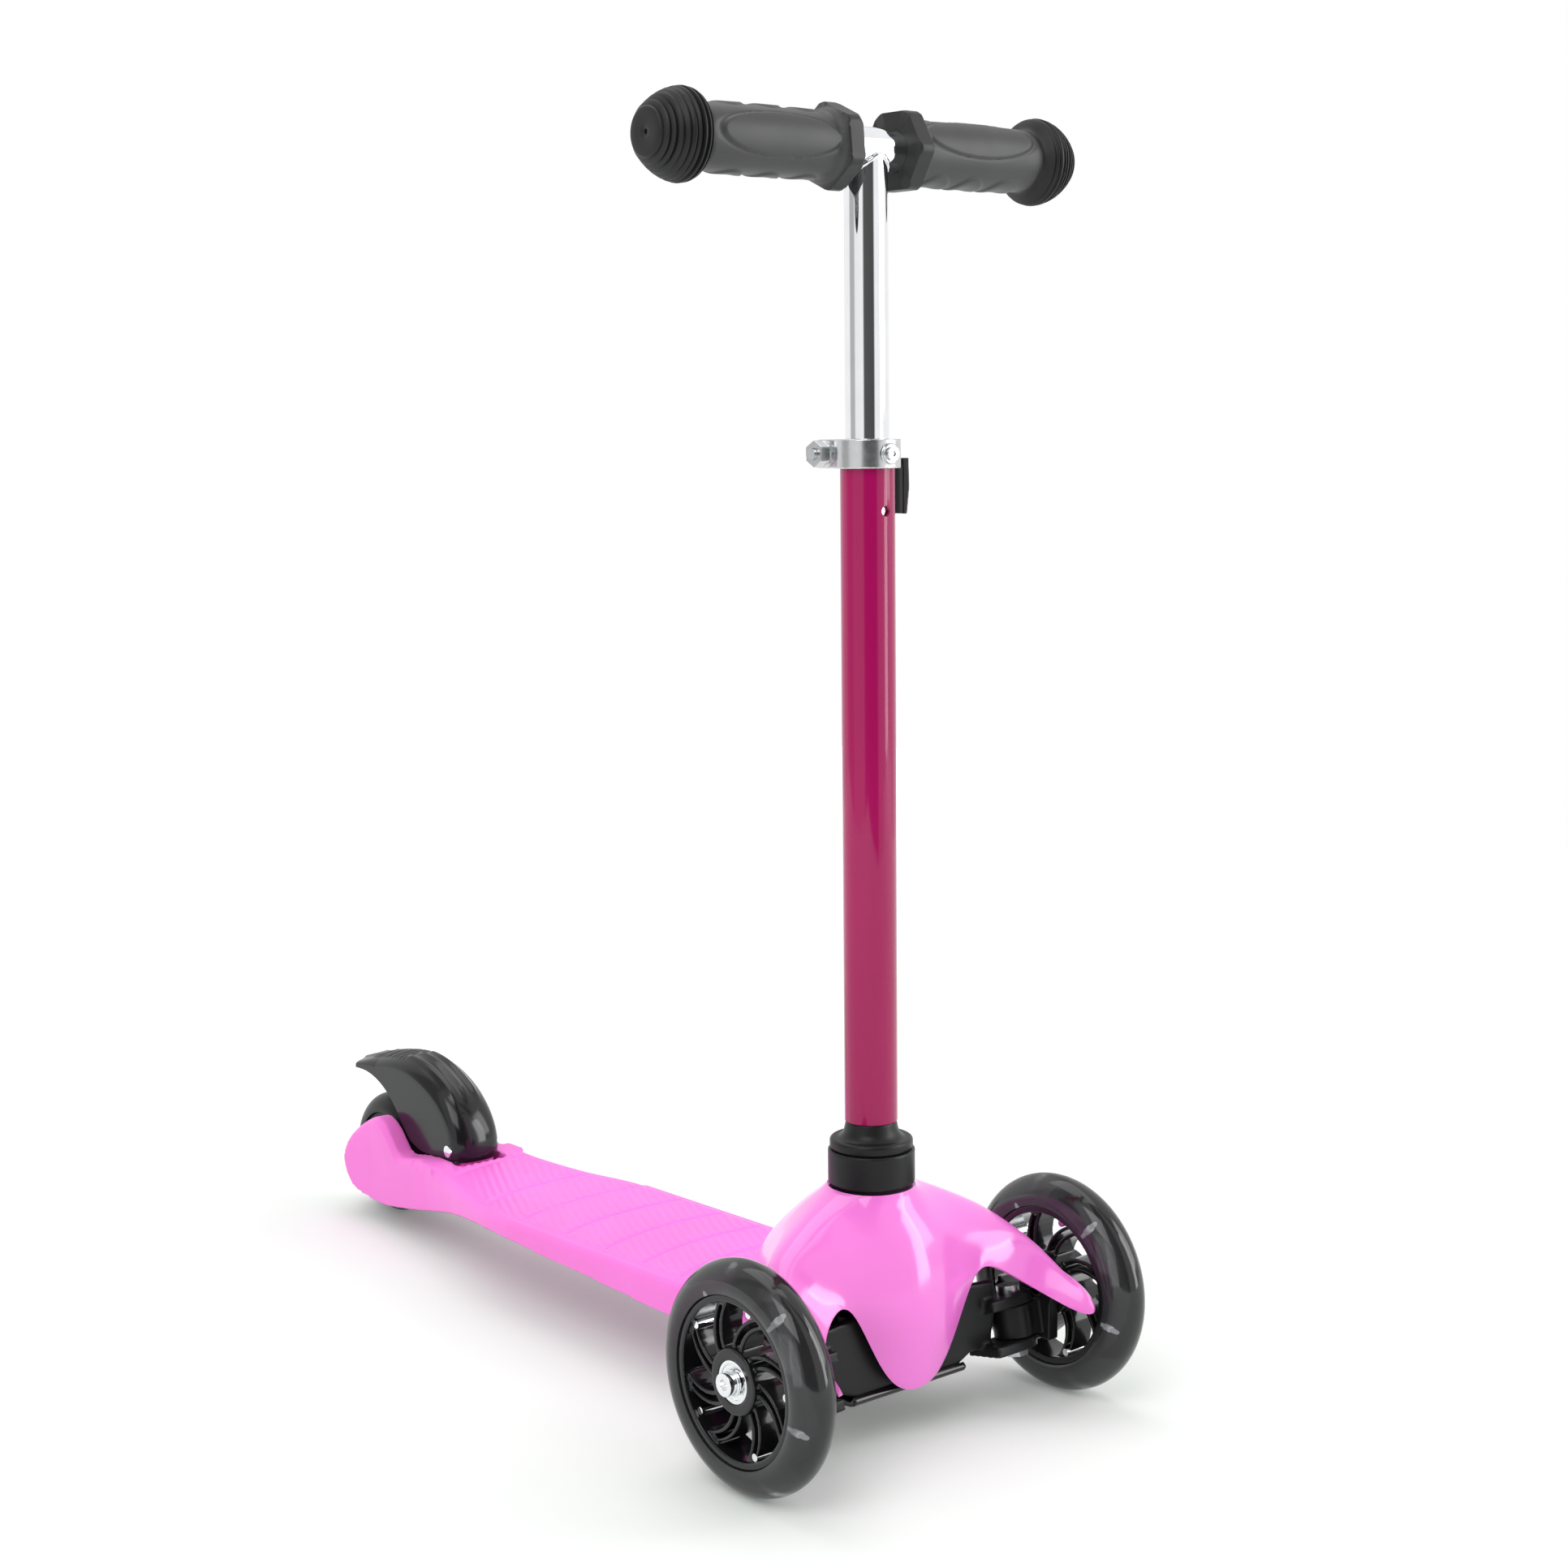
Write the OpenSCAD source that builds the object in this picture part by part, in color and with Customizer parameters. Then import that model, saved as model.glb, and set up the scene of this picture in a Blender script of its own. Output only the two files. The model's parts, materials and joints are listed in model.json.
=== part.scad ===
// Three-wheeled lean-to-steer kick scooter for a small child.
// The scooter rolls towards -Y, +Z is up and +X is the rider's left.
// Modules work with Y = 0 on the front axle line; at_origin() moves them to the part's origin.

/* [Overall] */
// Distance between the front and the rear axle lines
wheelbase = 505; // [470:1:610]
// Distance between the middles of the two front tyres
track = 220; // [214:1:264]
// Height of the handlebar's centre line above the ground
bar_height = 664; // [640:1:800]
// Width over both grips
bar_width = 277; // [230:1:333]
// Backward lean of the steering column, in degrees
lean = 0.9; // [0:0.1:3]
// Where the column's axis meets the ground, behind the front axle line
column_y = 29.5; // [28:0.5:32]

/* [Front wheels] */
// Outer diameter of a front tyre
front_d = 120; // [112:1:124]
// Width of a front tyre
front_w = 24; // [20:1:26]
// Diameter of the core's rim, where the tyre is cast on
rim_d = 88; // [80:1:92]
// Width of the core
core_w = 21; // [18:1:21]
// Number of spokes
spokes = 8; // [5:1:10]
// Number of lamps in a tyre
lamps = 5; // [3:1:6]

/* [Rear wheel] */
// Outer diameter of the rear tyre
rear_d = 80; // [74:1:84]
// Width of the rear tyre
rear_w = 24; // [20:1:26]
// Diameter of the rear core's rim
rear_rim_d = 56; // [48:1:60]

/* [Bearings and axles] */
// Outer diameter of a ball bearing
bearing_d = 22; // [19:1:24]
// Bore of a ball bearing
bearing_bore = 8; // [7:0.5:9]
// Width of a ball bearing
bearing_w = 7; // [6:0.5:8]
// Radial clearance of a running fit
run_gap = 0.03; // [0.02:0.01:0.08]
// Clearance between pieces that don't touch
gap = 0.3; // [0.2:0.05:0.5]

/* [Deck] */
// Width of the deck
deck_w = 110; // [100:1:130]
// Width of the waist in front of the rear wheel
waist_w = 68; // [62:1:80]
// Width over the two tail arms
tail_w = 60; // [54:1:68]
// Width of the slot that the rear wheel runs in
slot_w = 36; // [34:0.5:40]
// Height of the deck's top at its front end
deck_h = 63; // [60:0.5:66]
// Thickness of the deck's top plate
deck_t = 4; // [3:0.5:5]
// Thickness of the deck's side walls
skirt_t = 3; // [2.5:0.5:4]

/* [Steering] */
// Distance of a kingpin from the middle of the scooter
king_x = 79; // [76:1:82]
// Rake of the kingpins, top end backwards, in degrees
rake = 12; // [6:1:15]
// Diameter of a kingpin
king_d = 8; // [6:0.5:9]
// Length of the steering arms
arm_l = 28; // [26:1:32]

/* [Column] */
// Outer diameter of the lower tube
tube_d = 28; // [26:0.2:30]
// Wall of the lower tube
tube_t = 1.8; // [1.2:0.1:2]
// Outer diameter of the upper tube
mast_d = 22.2; // [20:0.2:23]
// Wall of the upper tube
mast_t = 1.5; // [1:0.1:2]
// Height of the clamp's lower face above the ground
clamp_z = 505.5; // [470:0.5:520]
// Height of the clamp's ring
clamp_h = 14.8; // [12:0.2:18]
// Outer diameter of the column socket
socket_d = 46; // [44:0.5:50]
// Height of the socket's top above the ground
socket_z = 150; // [140:1:156]
// Diameter of the plug on the column's foot
plug_d = 36; // [32:0.5:38]
// Diameter of the plug's flange
flange_d = 44; // [40:0.5:46]

/* [Handlebar] */
// Outer diameter of the crossbar
cross_d = 22; // [20:0.5:24]
// Length of one grip
grip_l = 120.5; // [98:0.5:124]
// Outer diameter of a grip's body
grip_d = 32; // [28:0.5:34]
// Outer diameter of a grip's end bumper
bumper_d = 44; // [38:0.5:46]

/* [Rear brake] */
// Outer width of the mudguard
guard_w = 34; // [32:0.5:36]
// Diameter of the mudguard's hinge pin
hinge_d = 6; // [5:0.5:7]

/* [Hood] */
// Wall of the hood
hood_t = 2.2; // [1.8:0.1:2.6]

/* [Hidden] */
$fn = 48;
front_r = front_d / 2;
rear_r = rear_d / 2;
// The origin lies on the ground in the middle of the wheels' length
mid_y = (wheelbase + rear_r - front_r) / 2;
wheel_x = track / 2;
axle_r = bearing_bore / 2 - run_gap;
hub_r = bearing_d / 2 + 6;
hub_side = core_w / 2 - 0.2;
core_side = core_w / 2;
// Kingpin frame: the middle of the knuckle's boss
king_y = 4;
king_z = 44;
jaw_r = 12;
boss_h = 18;
jaw_t = 6;
pin_l = boss_h + 2 * jaw_t + 2 * gap;
// Column
plug_r = plug_d / 2;
socket_r = socket_d / 2;
socket_floor = 60;
plug_foot = socket_floor + 5;
flange_t = 6;
neck_top = socket_z + flange_t + 9;
tube_r = tube_d / 2;
mast_r = mast_d / 2;
mast_foot = clamp_z - 36;
snap_z = clamp_z - 21.5;
snap_d = 4.8;
cross_r = cross_d / 2;
cross_l = bar_width - 8;
clamp_r = tube_r + 3;
skewer_y = tube_r + 7;
skewer_z = clamp_z + clamp_h / 2;
cam_x = 16;
// Deck
slot_y = wheelbase - 73;
hinge_y = wheelbase - 89;
hinge_z = 63;
lug_w = 25;
seat_z = deck_h - 6.5;
chassis_t = 5;
button_z = socket_z - 9;

// ---------- helpers ----------

// Puts a module drawn from the front axle line at the part's origin
module at_origin() translate([0, -mid_y, 0]) children();

// The column's own frame: Z runs up the leaning column
module on_column() at_origin() translate([0, column_y, 0]) rotate([-lean, 0, 0]) children();

// Lays an outline drawn in (Y, Z) across the scooter, w wide, centred on X = 0
module across(w) translate([-w / 2, 0, 0]) rotate([90, 0, 90]) linear_extrude(w) children();

// A round bar along X
module bar_x(r, x0, x1) translate([x0, 0, 0]) rotate([0, 90, 0]) cylinder(r = r, h = x1 - x0);

// A round bar along Y
module bar_y(r, y0, y1) translate([0, y0, 0]) rotate([-90, 0, 0]) cylinder(r = r, h = y1 - y0);

// A box given by its lowest and highest corners
module block(a, b) translate(a) cube(b - a);

// One point of a smooth curve between b and c, with a and d as its outer neighbours
function curve(a, b, c, d, t) =
    0.5 * (2 * b + (c - a) * t + (2 * a - 5 * b + 4 * c - d) * t * t
        + (3 * b - a - 3 * c + d) * t * t * t);

// A smooth open curve through the points p, with n steps between two points
function smooth(p, n = 4) = let (last = len(p) - 1) [
    for (i = [0 : last - 1], k = [0 : n - 1])
        curve(p[max(i - 1, 0)], p[i], p[i + 1], p[min(i + 2, last)], k / n),
    p[last]
];

// ---------- deck ----------

// Height of the flat standing pad at y; the border around it lies a little lower
function top_z(y) = deck_h - 0.03 * (y - 60);
pad_t = 0.8;
pad_y = 114;

// Half the deck's width at y: full width, then a smooth waist, then the tail arms
function half_w(y) =
    let (a = wheelbase - 215, b = wheelbase - 75, t = min(max((y - a) / (b - a), 0), 1),
         u = min(max((y - b) / 60, 0), 1))
    deck_w / 2 + (waist_w - deck_w) / 2 * (1 - cos(180 * t)) / 2 + (tail_w - waist_w) / 2 * u;

// Plan outline, drawn in by the amount inset
module deck_plan(inset, y0, y1) {
    step = (y1 - y0) / 40;
    right = [for (y = [y0 : step : y1 + 0.01]) [half_w(y) - inset, y]];
    left = [for (i = [len(right) - 1 : -1 : 0]) [-right[i][0], right[i][1]]];
    polygon(concat(right, left));
}

// Side outline in (Y, Z): the standing surface, the dip behind the hinge and the tail
module deck_side() {
    e = wheelbase;
    polygon(concat(
        [[40, 44], [40, top_z(40) - pad_t], [e - 205, top_z(e - 205) - pad_t]],
        smooth([[e - 190, top_z(e - 190) - pad_t], [e - 155, 53.5], [e - 110, 55.5], [e - 88, 57.5],
            [e - 68, 56], [e - 50, 53.5], [e - 41, 60], [e - 31, 69], [e - 20, 72.5],
            [e - 8, 68], [e + 5, 60], [e + 16, 50], [e + 21, 36], [e + 16, 25],
            [e + 5, 18], [e - 26, 15.5], [e - 56, 20], [e - 90, 27], [e - 130, 36],
            [e - 170, 42], [e - 205, 43.5]], 3),
        [[e - 300, 42], [e - 370, 40], [75, 40], [60, 44]]));
}

// The hollow under the top plate, cut into cells by the ribs
module deck_cells() {
    end = slot_y - 34;
    rib = 2.5;
    intersection() {
        difference() {
            linear_extrude(120) deck_plan(skirt_t, 96, end);
            for (x = [-deck_w / 6, deck_w / 6]) block([x - rib / 2, 90, 0], [x + rib / 2, end + 5, 120]);
            for (y = [160 : 60 : end]) block([-deck_w, y, 0], [deck_w, y + rib, 120]);
        }
        across(deck_w) polygon([[90, -5], [end + 5, -5], [end + 5, 50], [end - 45, 50 - deck_t / 2],
            [wheelbase - 190, top_z(wheelbase - 190) - deck_t], [90, top_z(90) - deck_t]]);
    }
}

// Round seats of the four screws that hold the chassis under the deck
module screw_places() for (x = [-32, 32], y = [66, 88]) translate([x, y, 0]) children();

module deck() color("violet") at_origin() difference() {
    union() {
        difference() {
            intersection() {
                linear_extrude(120) deck_plan(0, 40, wheelbase + 22);
                across(deck_w) deck_side();
            }
            deck_cells();
            // Slot of the rear wheel and the pocket of the mudguard's foot
            block([-slot_w / 2, slot_y, 0], [slot_w / 2, wheelbase + 60, 120]);
            block([-slot_w / 2, hinge_y - 14, hinge_z - 12], [slot_w / 2, slot_y + 1, 120]);
            // Room under the front for the chassis
            block([-deck_w, 0, 0], [deck_w, 58, 120]);
            block([-deck_w / 2 + skirt_t, 50, 0], [deck_w / 2 - skirt_t, 96, seat_z]);
        }
        translate([0, hinge_y, hinge_z]) bar_x(7.4, -lug_w / 2, lug_w / 2);
        block([-lug_w / 2, hinge_y - 7.4, hinge_z - 14], [lug_w / 2, hinge_y + 7.4, hinge_z]);
        across(deck_w - 14) polygon([[pad_y, top_z(pad_y)], [wheelbase - 207, top_z(wheelbase - 207)],
            [wheelbase - 207, top_z(wheelbase - 207) - 2], [pad_y, top_z(pad_y) - 2]]);
    }
    translate([0, hinge_y, hinge_z]) bar_x(hinge_d / 2 + run_gap, -lug_w, lug_w);
    // Gap in the lug for the spring
    block([-4, hinge_y - 9, hinge_z - 5.33], [4, hinge_y + 9, hinge_z + 9]);
    translate([0, wheelbase, rear_r]) bar_x(axle_r + run_gap, -tail_w / 2 + 4, tail_w / 2 - 4);
    screw_places() translate([0, 0, seat_z - 1]) cylinder(r = 2.05, h = 4);
}

// ---------- hood ----------

// Sections of the right half, each from the socket's rim to the lower edge
HOOD = [
    [[0, 8.2, 130.5], [0, -4, 116], [0, -13, 93], [0, -16, 62], [0, -6, 27]],
    [[8, 10, 130.5], [12, -2, 114], [17, -10, 91], [19, -12, 62], [15, -5, 30]],
    [[14.5, 13.5, 130.5], [22, 3, 112], [27, -3, 91], [29, -6, 69], [27, -4, 47]],
    [[18, 17, 130.5], [28, 9, 113], [34, 4, 98], [37, 1, 87], [38, -1, 75]],
    [[20, 20, 130.5], [33, 14, 115], [41, 9, 105], [45, 5, 95], [47, 0, 85]],
    [[21.7, 24, 130.5], [39, 19, 118], [53, 12, 107], [60, 5, 94], [62, -4, 79]],
    [[22.7, 28, 130.5], [47, 23, 119], [66, 14, 106], [75, 0, 88], [73, -18, 68]],
    [[23, 31, 130.5], [50, 26, 118.5], [73, 15, 105], [82, -8, 86], [79, -35, 61]],
    [[23, 34, 130.5], [52, 29, 117.5], [77, 17, 103], [87, -12, 86], [84, -54, 56]],
    [[22.7, 37, 130.5], [53, 33, 116], [80, 21, 101], [90, -14, 84], [89.5, -53, 62]],
    [[22, 39.5, 130.5], [52, 37, 114], [79, 28, 98], [89.5, 2, 87], [91, -20, 78]],
    [[21, 42, 130.5], [49, 42, 111.5], [73, 38, 95], [84, 28, 85], [88, 20, 78]],
    [[19.5, 44.5, 130.5], [43, 50, 109], [62, 51, 92], [70, 49, 80], [74, 46, 71]],
    [[17, 48, 130.5], [34, 59, 108], [49, 67, 90], [55, 70, 77], [58, 72, 64]],
    [[12.5, 51.5, 130.5], [23, 66, 111], [36, 83, 90], [44, 92, 76], [49, 96, 62]],
    [[6.5, 54.2, 130.5], [11, 70, 114], [19, 89, 94], [26, 101, 77], [29, 106, 62]],
    [[0, 55, 130.5], [0, 71, 115], [0, 90, 96], [0, 103, 78], [0, 108, 62]]
];
hood_n = len(HOOD) - 1;
// Section i of the whole hood, counted right round the rim
function section(i) = let (k = (i + 4 * hood_n) % (2 * hood_n))
    k <= hood_n ? HOOD[k] : [for (p = HOOD[2 * hood_n - k]) [-p[0], p[1], p[2]]];
hood_u = 3;
hood_v = 3;
hood_cols = 2 * hood_n * hood_u;
hood_rows = (len(HOOD[0]) - 1) * hood_v + 1;
// The outer skin: a smooth net through the sections
HOOD_SKIN = [for (c = [0 : hood_cols - 1]) let (i = floor(c / hood_u), t = (c % hood_u) / hood_u)
    smooth([for (j = [0 : len(HOOD[0]) - 1])
        curve(section(i - 1)[j], section(i)[j], section(i + 1)[j], section(i + 2)[j], t)], hood_v)];
function skin(c, r) = HOOD_SKIN[(c + hood_cols) % hood_cols][min(max(r, 0), hood_rows - 1)];
function unit(v) = v / norm(v);
// Inwards at a point of the skin
function inward(c, r) = unit(cross(skin(c + 1, r) - skin(c - 1, r), skin(c, r + 1) - skin(c, r - 1)));

module hood() color("violet") at_origin() {
    outer = [for (c = [0 : hood_cols - 1], r = [0 : hood_rows - 1]) skin(c, r)];
    inner = [for (c = [0 : hood_cols - 1], r = [0 : hood_rows - 1])
        skin(c, r) + hood_t * inward(c, r)];
    n = len(outer);
    top = hood_rows - 1;
    at = function (c, r) (c % hood_cols) * hood_rows + r;
    polyhedron(points = concat(outer, inner), faces = [
        for (c = [0 : hood_cols - 1], r = [0 : top - 1]) each [
            [at(c, r), at(c + 1, r), at(c + 1, r + 1)], [at(c, r), at(c + 1, r + 1), at(c, r + 1)],
            [n + at(c, r), n + at(c + 1, r + 1), n + at(c + 1, r)],
            [n + at(c, r), n + at(c, r + 1), n + at(c + 1, r + 1)]],
        for (c = [0 : hood_cols - 1]) each [
            [at(c, 0), n + at(c, 0), n + at(c + 1, 0)], [at(c, 0), n + at(c + 1, 0), at(c + 1, 0)],
            [at(c, top), n + at(c + 1, top), n + at(c, top)],
            [at(c, top), at(c + 1, top), n + at(c + 1, top)]]
    ]);
}

// ---------- chassis ----------

// The frame of one kingpin, side = 1 for left and -1 for right
module on_king(side) at_origin() translate([side * king_x, king_y, king_z]) rotate([-rake, 0, 0])
    children();

// Front wall of the chassis in (X, Z)
module front_wall() for (s = [0, 1]) mirror([s, 0]) polygon([[0, 28], [34, 28], [46, 34], [60, 34],
    [64, 52], [62, 70], [39, 72], [0, 72]]);

// Posts that carry the hood, each up to a point of the hood's inner side
module hood_posts() for (c = [5 * hood_u, 12 * hood_u, -5 * hood_u, -12 * hood_u])
    let (p = skin(c, hood_v) + hood_t * inward(c, hood_v)) translate([p[0], p[1], seat_z - 1])
        cylinder(r1 = 5, r2 = 0.4, h = p[2] - seat_z + 1.1);

module jaws(side) for (z = [boss_h / 2 + gap, -boss_h / 2 - gap - jaw_t]) translate([0, 0, z]) {
    cylinder(r = jaw_r, h = jaw_t);
    translate([side > 0 ? -24 : 0, -jaw_r, 0]) cube([24, 2 * jaw_r, jaw_t]);
}

module chassis() color("dimgray") difference() {
    union() {
        at_origin() {
            difference() {
                translate([0, 7, 0]) rotate([90, 0, 0]) linear_extrude(5) front_wall();
                translate([0, column_y + 1, seat_z]) cylinder(r = socket_r + 4 + gap, h = 100);
            }
            block([-62, 2, seat_z - chassis_t], [62, 24, seat_z]);
            block([-50, 10, seat_z - chassis_t], [50, 95, seat_z]);
            for (s = [-1, 1]) {
                block([s * 58 - 3.5, 2, 34], [s * 58 + 3.5, 24, seat_z]);
                block([s * 46 - 2, 48, 40], [s * 46 + 2, 95, seat_z]);
            }
            hood_posts();
        }
        for (s = [-1, 1]) on_king(s) jaws(s);
    }
    for (s = [-1, 1]) on_king(s) translate([0, 0, -30]) cylinder(r = king_d / 2 + run_gap, h = 60);
    at_origin() screw_places() cylinder(r = 2.2, h = 100);
    for (a = [45 : 90 : 315]) on_column() rotate(a) translate([socket_r, 0, 40])
        cylinder(r = 1.7, h = 25);
    on_column() translate([0, 0, 40]) cylinder(r = 9, h = 30);
}

// A bowl-shaped lower cover, screwed up against the chassis
module chassis_cover() color("black") at_origin() across(80) polygon(concat(
    smooth([[1.9, 31], [-1, 28.5], [3, 25], [20, 24], [48, 29], [68, 38], [81, seat_z - chassis_t]], 3),
    [[78.5, seat_z - chassis_t]],
    smooth([[66, 40.5], [47, 31.5], [20, 26.5], [9, 27.9]], 3), [[1.9, 27.9]]));

// ---------- column socket ----------

module socket() color("black") difference() {
    on_column() difference() {
        union() {
            translate([0, 0, seat_z - 1]) cylinder(r = socket_r + 4, h = 9);
            // The hood's rim tucks in under the collar
            translate([0, 0, seat_z]) cylinder(r = socket_r - 2, h = socket_z - seat_z);
            translate([0, 0, 132]) cylinder(r = socket_r, h = socket_z - 132);
        }
        translate([0, 0, socket_floor]) cylinder(r = plug_r + gap, h = 200);
        translate([0, 0, button_z]) bar_y(5 + gap, plug_r - 2, socket_r + 3);
        for (a = [45 : 90 : 315]) rotate(a) translate([socket_r, 0, seat_z - 3]) cylinder(r = 1.5, h = 10);
    }
    at_origin() block([-60, -20, 0], [60, 57.9, seat_z]);
}

module release_button() color("black") on_column() translate([0, 0, button_z]) {
    bar_y(5, plug_r + 0.8, socket_r + 2);
}

// Screws of the deck and of the socket
module frame_screws() color("silver") {
    at_origin() screw_places() translate([0, 0, seat_z - chassis_t - 3]) {
        cylinder(r = 4.5, h = 3);
        cylinder(r = 2, h = chassis_t + 5);
    }
    on_column() for (a = [45 : 90 : 315]) rotate(a) translate([socket_r, 0, seat_z - chassis_t - 2.9]) {
        cylinder(r = 3, h = 2.4);
        cylinder(r = 1.45, h = chassis_t + 8);
    }
}

// ---------- column ----------

module column_plug() color("black") on_column() difference() {
    union() {
        translate([0, 0, plug_foot]) cylinder(r = plug_r, h = socket_z - plug_foot);
        translate([0, 0, socket_z]) rotate_extrude() polygon(concat(
            [[0, 0], [flange_d / 2 - 1, 0], [flange_d / 2, 1], [flange_d / 2, flange_t - 1],
                [flange_d / 2 - 1, flange_t]],
            smooth([[tube_r + 3.5, flange_t], [tube_r + 0.8, flange_t + 3], [tube_r - 0.6, flange_t + 9]]),
            [[tube_r - tube_t - 0.1, flange_t + 9], [tube_r - tube_t - 0.1, flange_t + 40],
                [0, flange_t + 40]]));
    }
    // The slot that the release button's nose runs in
    block([-5 - 2 * gap, plug_r - 3.5, plug_foot - 1], [5 + 2 * gap, plug_r + 5, socket_z - 2]);
    // Hollow core
    translate([0, 0, plug_foot - 1]) cylinder(r = 8, h = 150);
}

module lower_tube() color("mediumvioletred") on_column() difference() {
    translate([0, 0, neck_top]) rotate_extrude() polygon([
        [tube_r - tube_t, 0], [tube_r - 1, 0], [tube_r, 1],
        [tube_r, clamp_z + clamp_h - 2 - neck_top], [tube_r - tube_t, clamp_z + clamp_h - 2 - neck_top]]);
    translate([0, 0, snap_z]) bar_y(snap_d / 2 + gap, -tube_r - 2, -tube_r + tube_t + 2);
    // Slit that lets the clamp close the tube
    block([-0.8, 5, clamp_z - 12], [0.8, tube_r + 2, clamp_z + 30]);
}

module tube_bush() color("white") on_column() translate([0, 0, clamp_z - 12]) difference() {
    union() {
        cylinder(r = tube_r - tube_t - 0.05, h = clamp_h + 10);
        translate([0, 0, clamp_h + 10]) cylinder(r = tube_r - 0.5, h = 1.4);
    }
    translate([0, 0, -1]) cylinder(r = mast_r + 0.06, h = 60);
    block([-0.8, 5, -1], [0.8, tube_r + 2, 60]);
}

module clamp_ring() color("silver") on_column() translate([0, 0, clamp_z]) difference() {
    union() {
        cylinder(r = clamp_r, h = clamp_h - 0.2);
        block([-9, 10, 0], [9, skewer_y + 7, clamp_h - 0.2]);
        translate([0, 0, clamp_h / 2]) bar_y(5, -clamp_r - 1.2, -tube_r);
    }
    translate([0, 0, -1]) cylinder(r = tube_r + 0.05, h = clamp_h - 0.6);
    translate([0, 0, -1]) cylinder(r = tube_r - 0.2, h = clamp_h + 5);
    block([-1.2, 10, -1], [1.2, skewer_y + 20, clamp_h + 1]);
    translate([0, skewer_y, clamp_h / 2]) bar_x(3.1, -20, 20);
    translate([0, 0, clamp_h / 2]) bar_y(2, -clamp_r - 5, -tube_r + 1);
}

module clamp_skewer() color("silver") on_column() translate([0, skewer_y, skewer_z]) difference() {
    bar_x(2.95, -20, cam_x + 4);
    translate([cam_x, 0, 0]) bar_y(2 + run_gap, -8, 8);
}

module clamp_nut() color("silver") on_column() translate([0, skewer_y, skewer_z]) difference() {
    union() {
        bar_x(6.8, -12, -9);
        translate([-18, 0, 0]) rotate([0, 90, 0]) cylinder(r = 7, h = 6, $fn = 6);
    }
    bar_x(3, -20, -8);
}

module clamp_washer() color("dimgray") on_column() translate([0, skewer_y, skewer_z]) difference() {
    bar_x(6.5, 9, 11);
    bar_x(3.1, 8, 12);
}

module clamp_screw() color("silver") on_column() translate([0, 0, skewer_z]) difference() {
    union() {
        bar_y(3.6, -clamp_r - 3, -clamp_r - 1.2);
        bar_y(1.95, -clamp_r - 1.3, -tube_r - 0.1);
    }
    translate([0, -clamp_r - 3.5, 0]) rotate([-90, 0, 0]) cylinder(r = 1.6, h = 1.4, $fn = 6);
}

module clamp_lever() color("black") on_column() difference() {
    union() {
        translate([0, 0, skewer_z - 31]) rotate([0, 0, -10]) rotate_extrude(angle = 60)
            polygon([[21.5, 0], [24, 0], [25.5, 14], [25, 28.5], [21.5, 28.5]]);
        translate([cam_x, skewer_y, skewer_z]) {
            bar_y(4.7, -6.5, 6.5);
            block([0, -6.5, -4.7], [8, 6.5, 4.7]);
        }
    }
    // Fork around the skewer's eye, and the pin's bore
    translate([cam_x, skewer_y, skewer_z]) {
        block([-8, -2.95 - gap, -12], [5, 2.95 + gap, 12]);
        bar_y(2 + run_gap, -12, 12);
    }
}

module lever_pin() color("silver") on_column() translate([cam_x, skewer_y, skewer_z]) bar_y(2, -6.5, 6.5);

// ---------- handlebar ----------

module mast() color("silver") on_column() difference() {
    translate([0, 0, mast_foot]) cylinder(r = mast_r, h = bar_height - mast_foot);
    translate([0, 0, mast_foot - 1]) cylinder(r = mast_r - mast_t, h = bar_height);
    translate([0, 0, bar_height]) bar_x(cross_r + 0.02, -30, 30);
    translate([0, 0, snap_z]) bar_y(snap_d / 2 + 0.1, -mast_r - 2, -mast_r + 4);
}

module mast_foot_ring() color("white") on_column() translate([0, 0, mast_foot]) difference() {
    union() {
        translate([0, 0, -3]) cylinder(r = tube_r - tube_t - 0.1, h = 3);
        cylinder(r = mast_r - mast_t - 0.05, h = 6);
    }
    translate([0, 0, -5]) cylinder(r = 7.5, h = 20);
}

module snap_button() color("silver") on_column() translate([0, 0, snap_z]) {
    bar_y(snap_d / 2, -mast_r - 0.7, -mast_r + 3.5);
    bar_y(snap_d / 2 + 0.8, -mast_r + 3.5, -mast_r + 5);
}

module crossbar() color("silver") on_column() translate([0, 0, bar_height]) difference() {
    bar_x(cross_r, -cross_l / 2, cross_l / 2);
    bar_x(cross_r - 1.6, -cross_l / 2 - 1, cross_l / 2 + 1);
}

// Turned profile of a grip, from the inner flange to the ribbed end bumper
module grip_profile() {
    inner = bar_width / 2 - grip_l;
    end = bar_width / 2;
    rib = 3.2;
    polygon(concat(
        [[cross_r + 0.05, inner], [grip_d / 2 + 2, inner], [grip_d / 2 + 4, inner + 2],
            [grip_d / 2 + 4, inner + 7], [grip_d / 2, inner + 11], [grip_d / 2, end - 28]],
        [for (k = [0 : 6], s = [0, 1]) let (x = end - 27 + k * rib + s * rib / 2)
            [grip_d / 2 + (bumper_d - grip_d) / 2 * sin(40 + 105 * (k / 6)) - s * 1.4, x]],
        [[bumper_d / 2 - 7, end - 2], [bumper_d / 2 - 9, end], [1.5, end], [1.5, end - 4],
            [cross_r + 0.05, end - 4]]));
}

module grip(side) color("dimgray") on_column() translate([0, 0, bar_height]) rotate([0, side * 90, 0])
    rotate_extrude() grip_profile();

module grip_left() grip(1);
module grip_right() grip(-1);

// ---------- steering ----------

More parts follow.
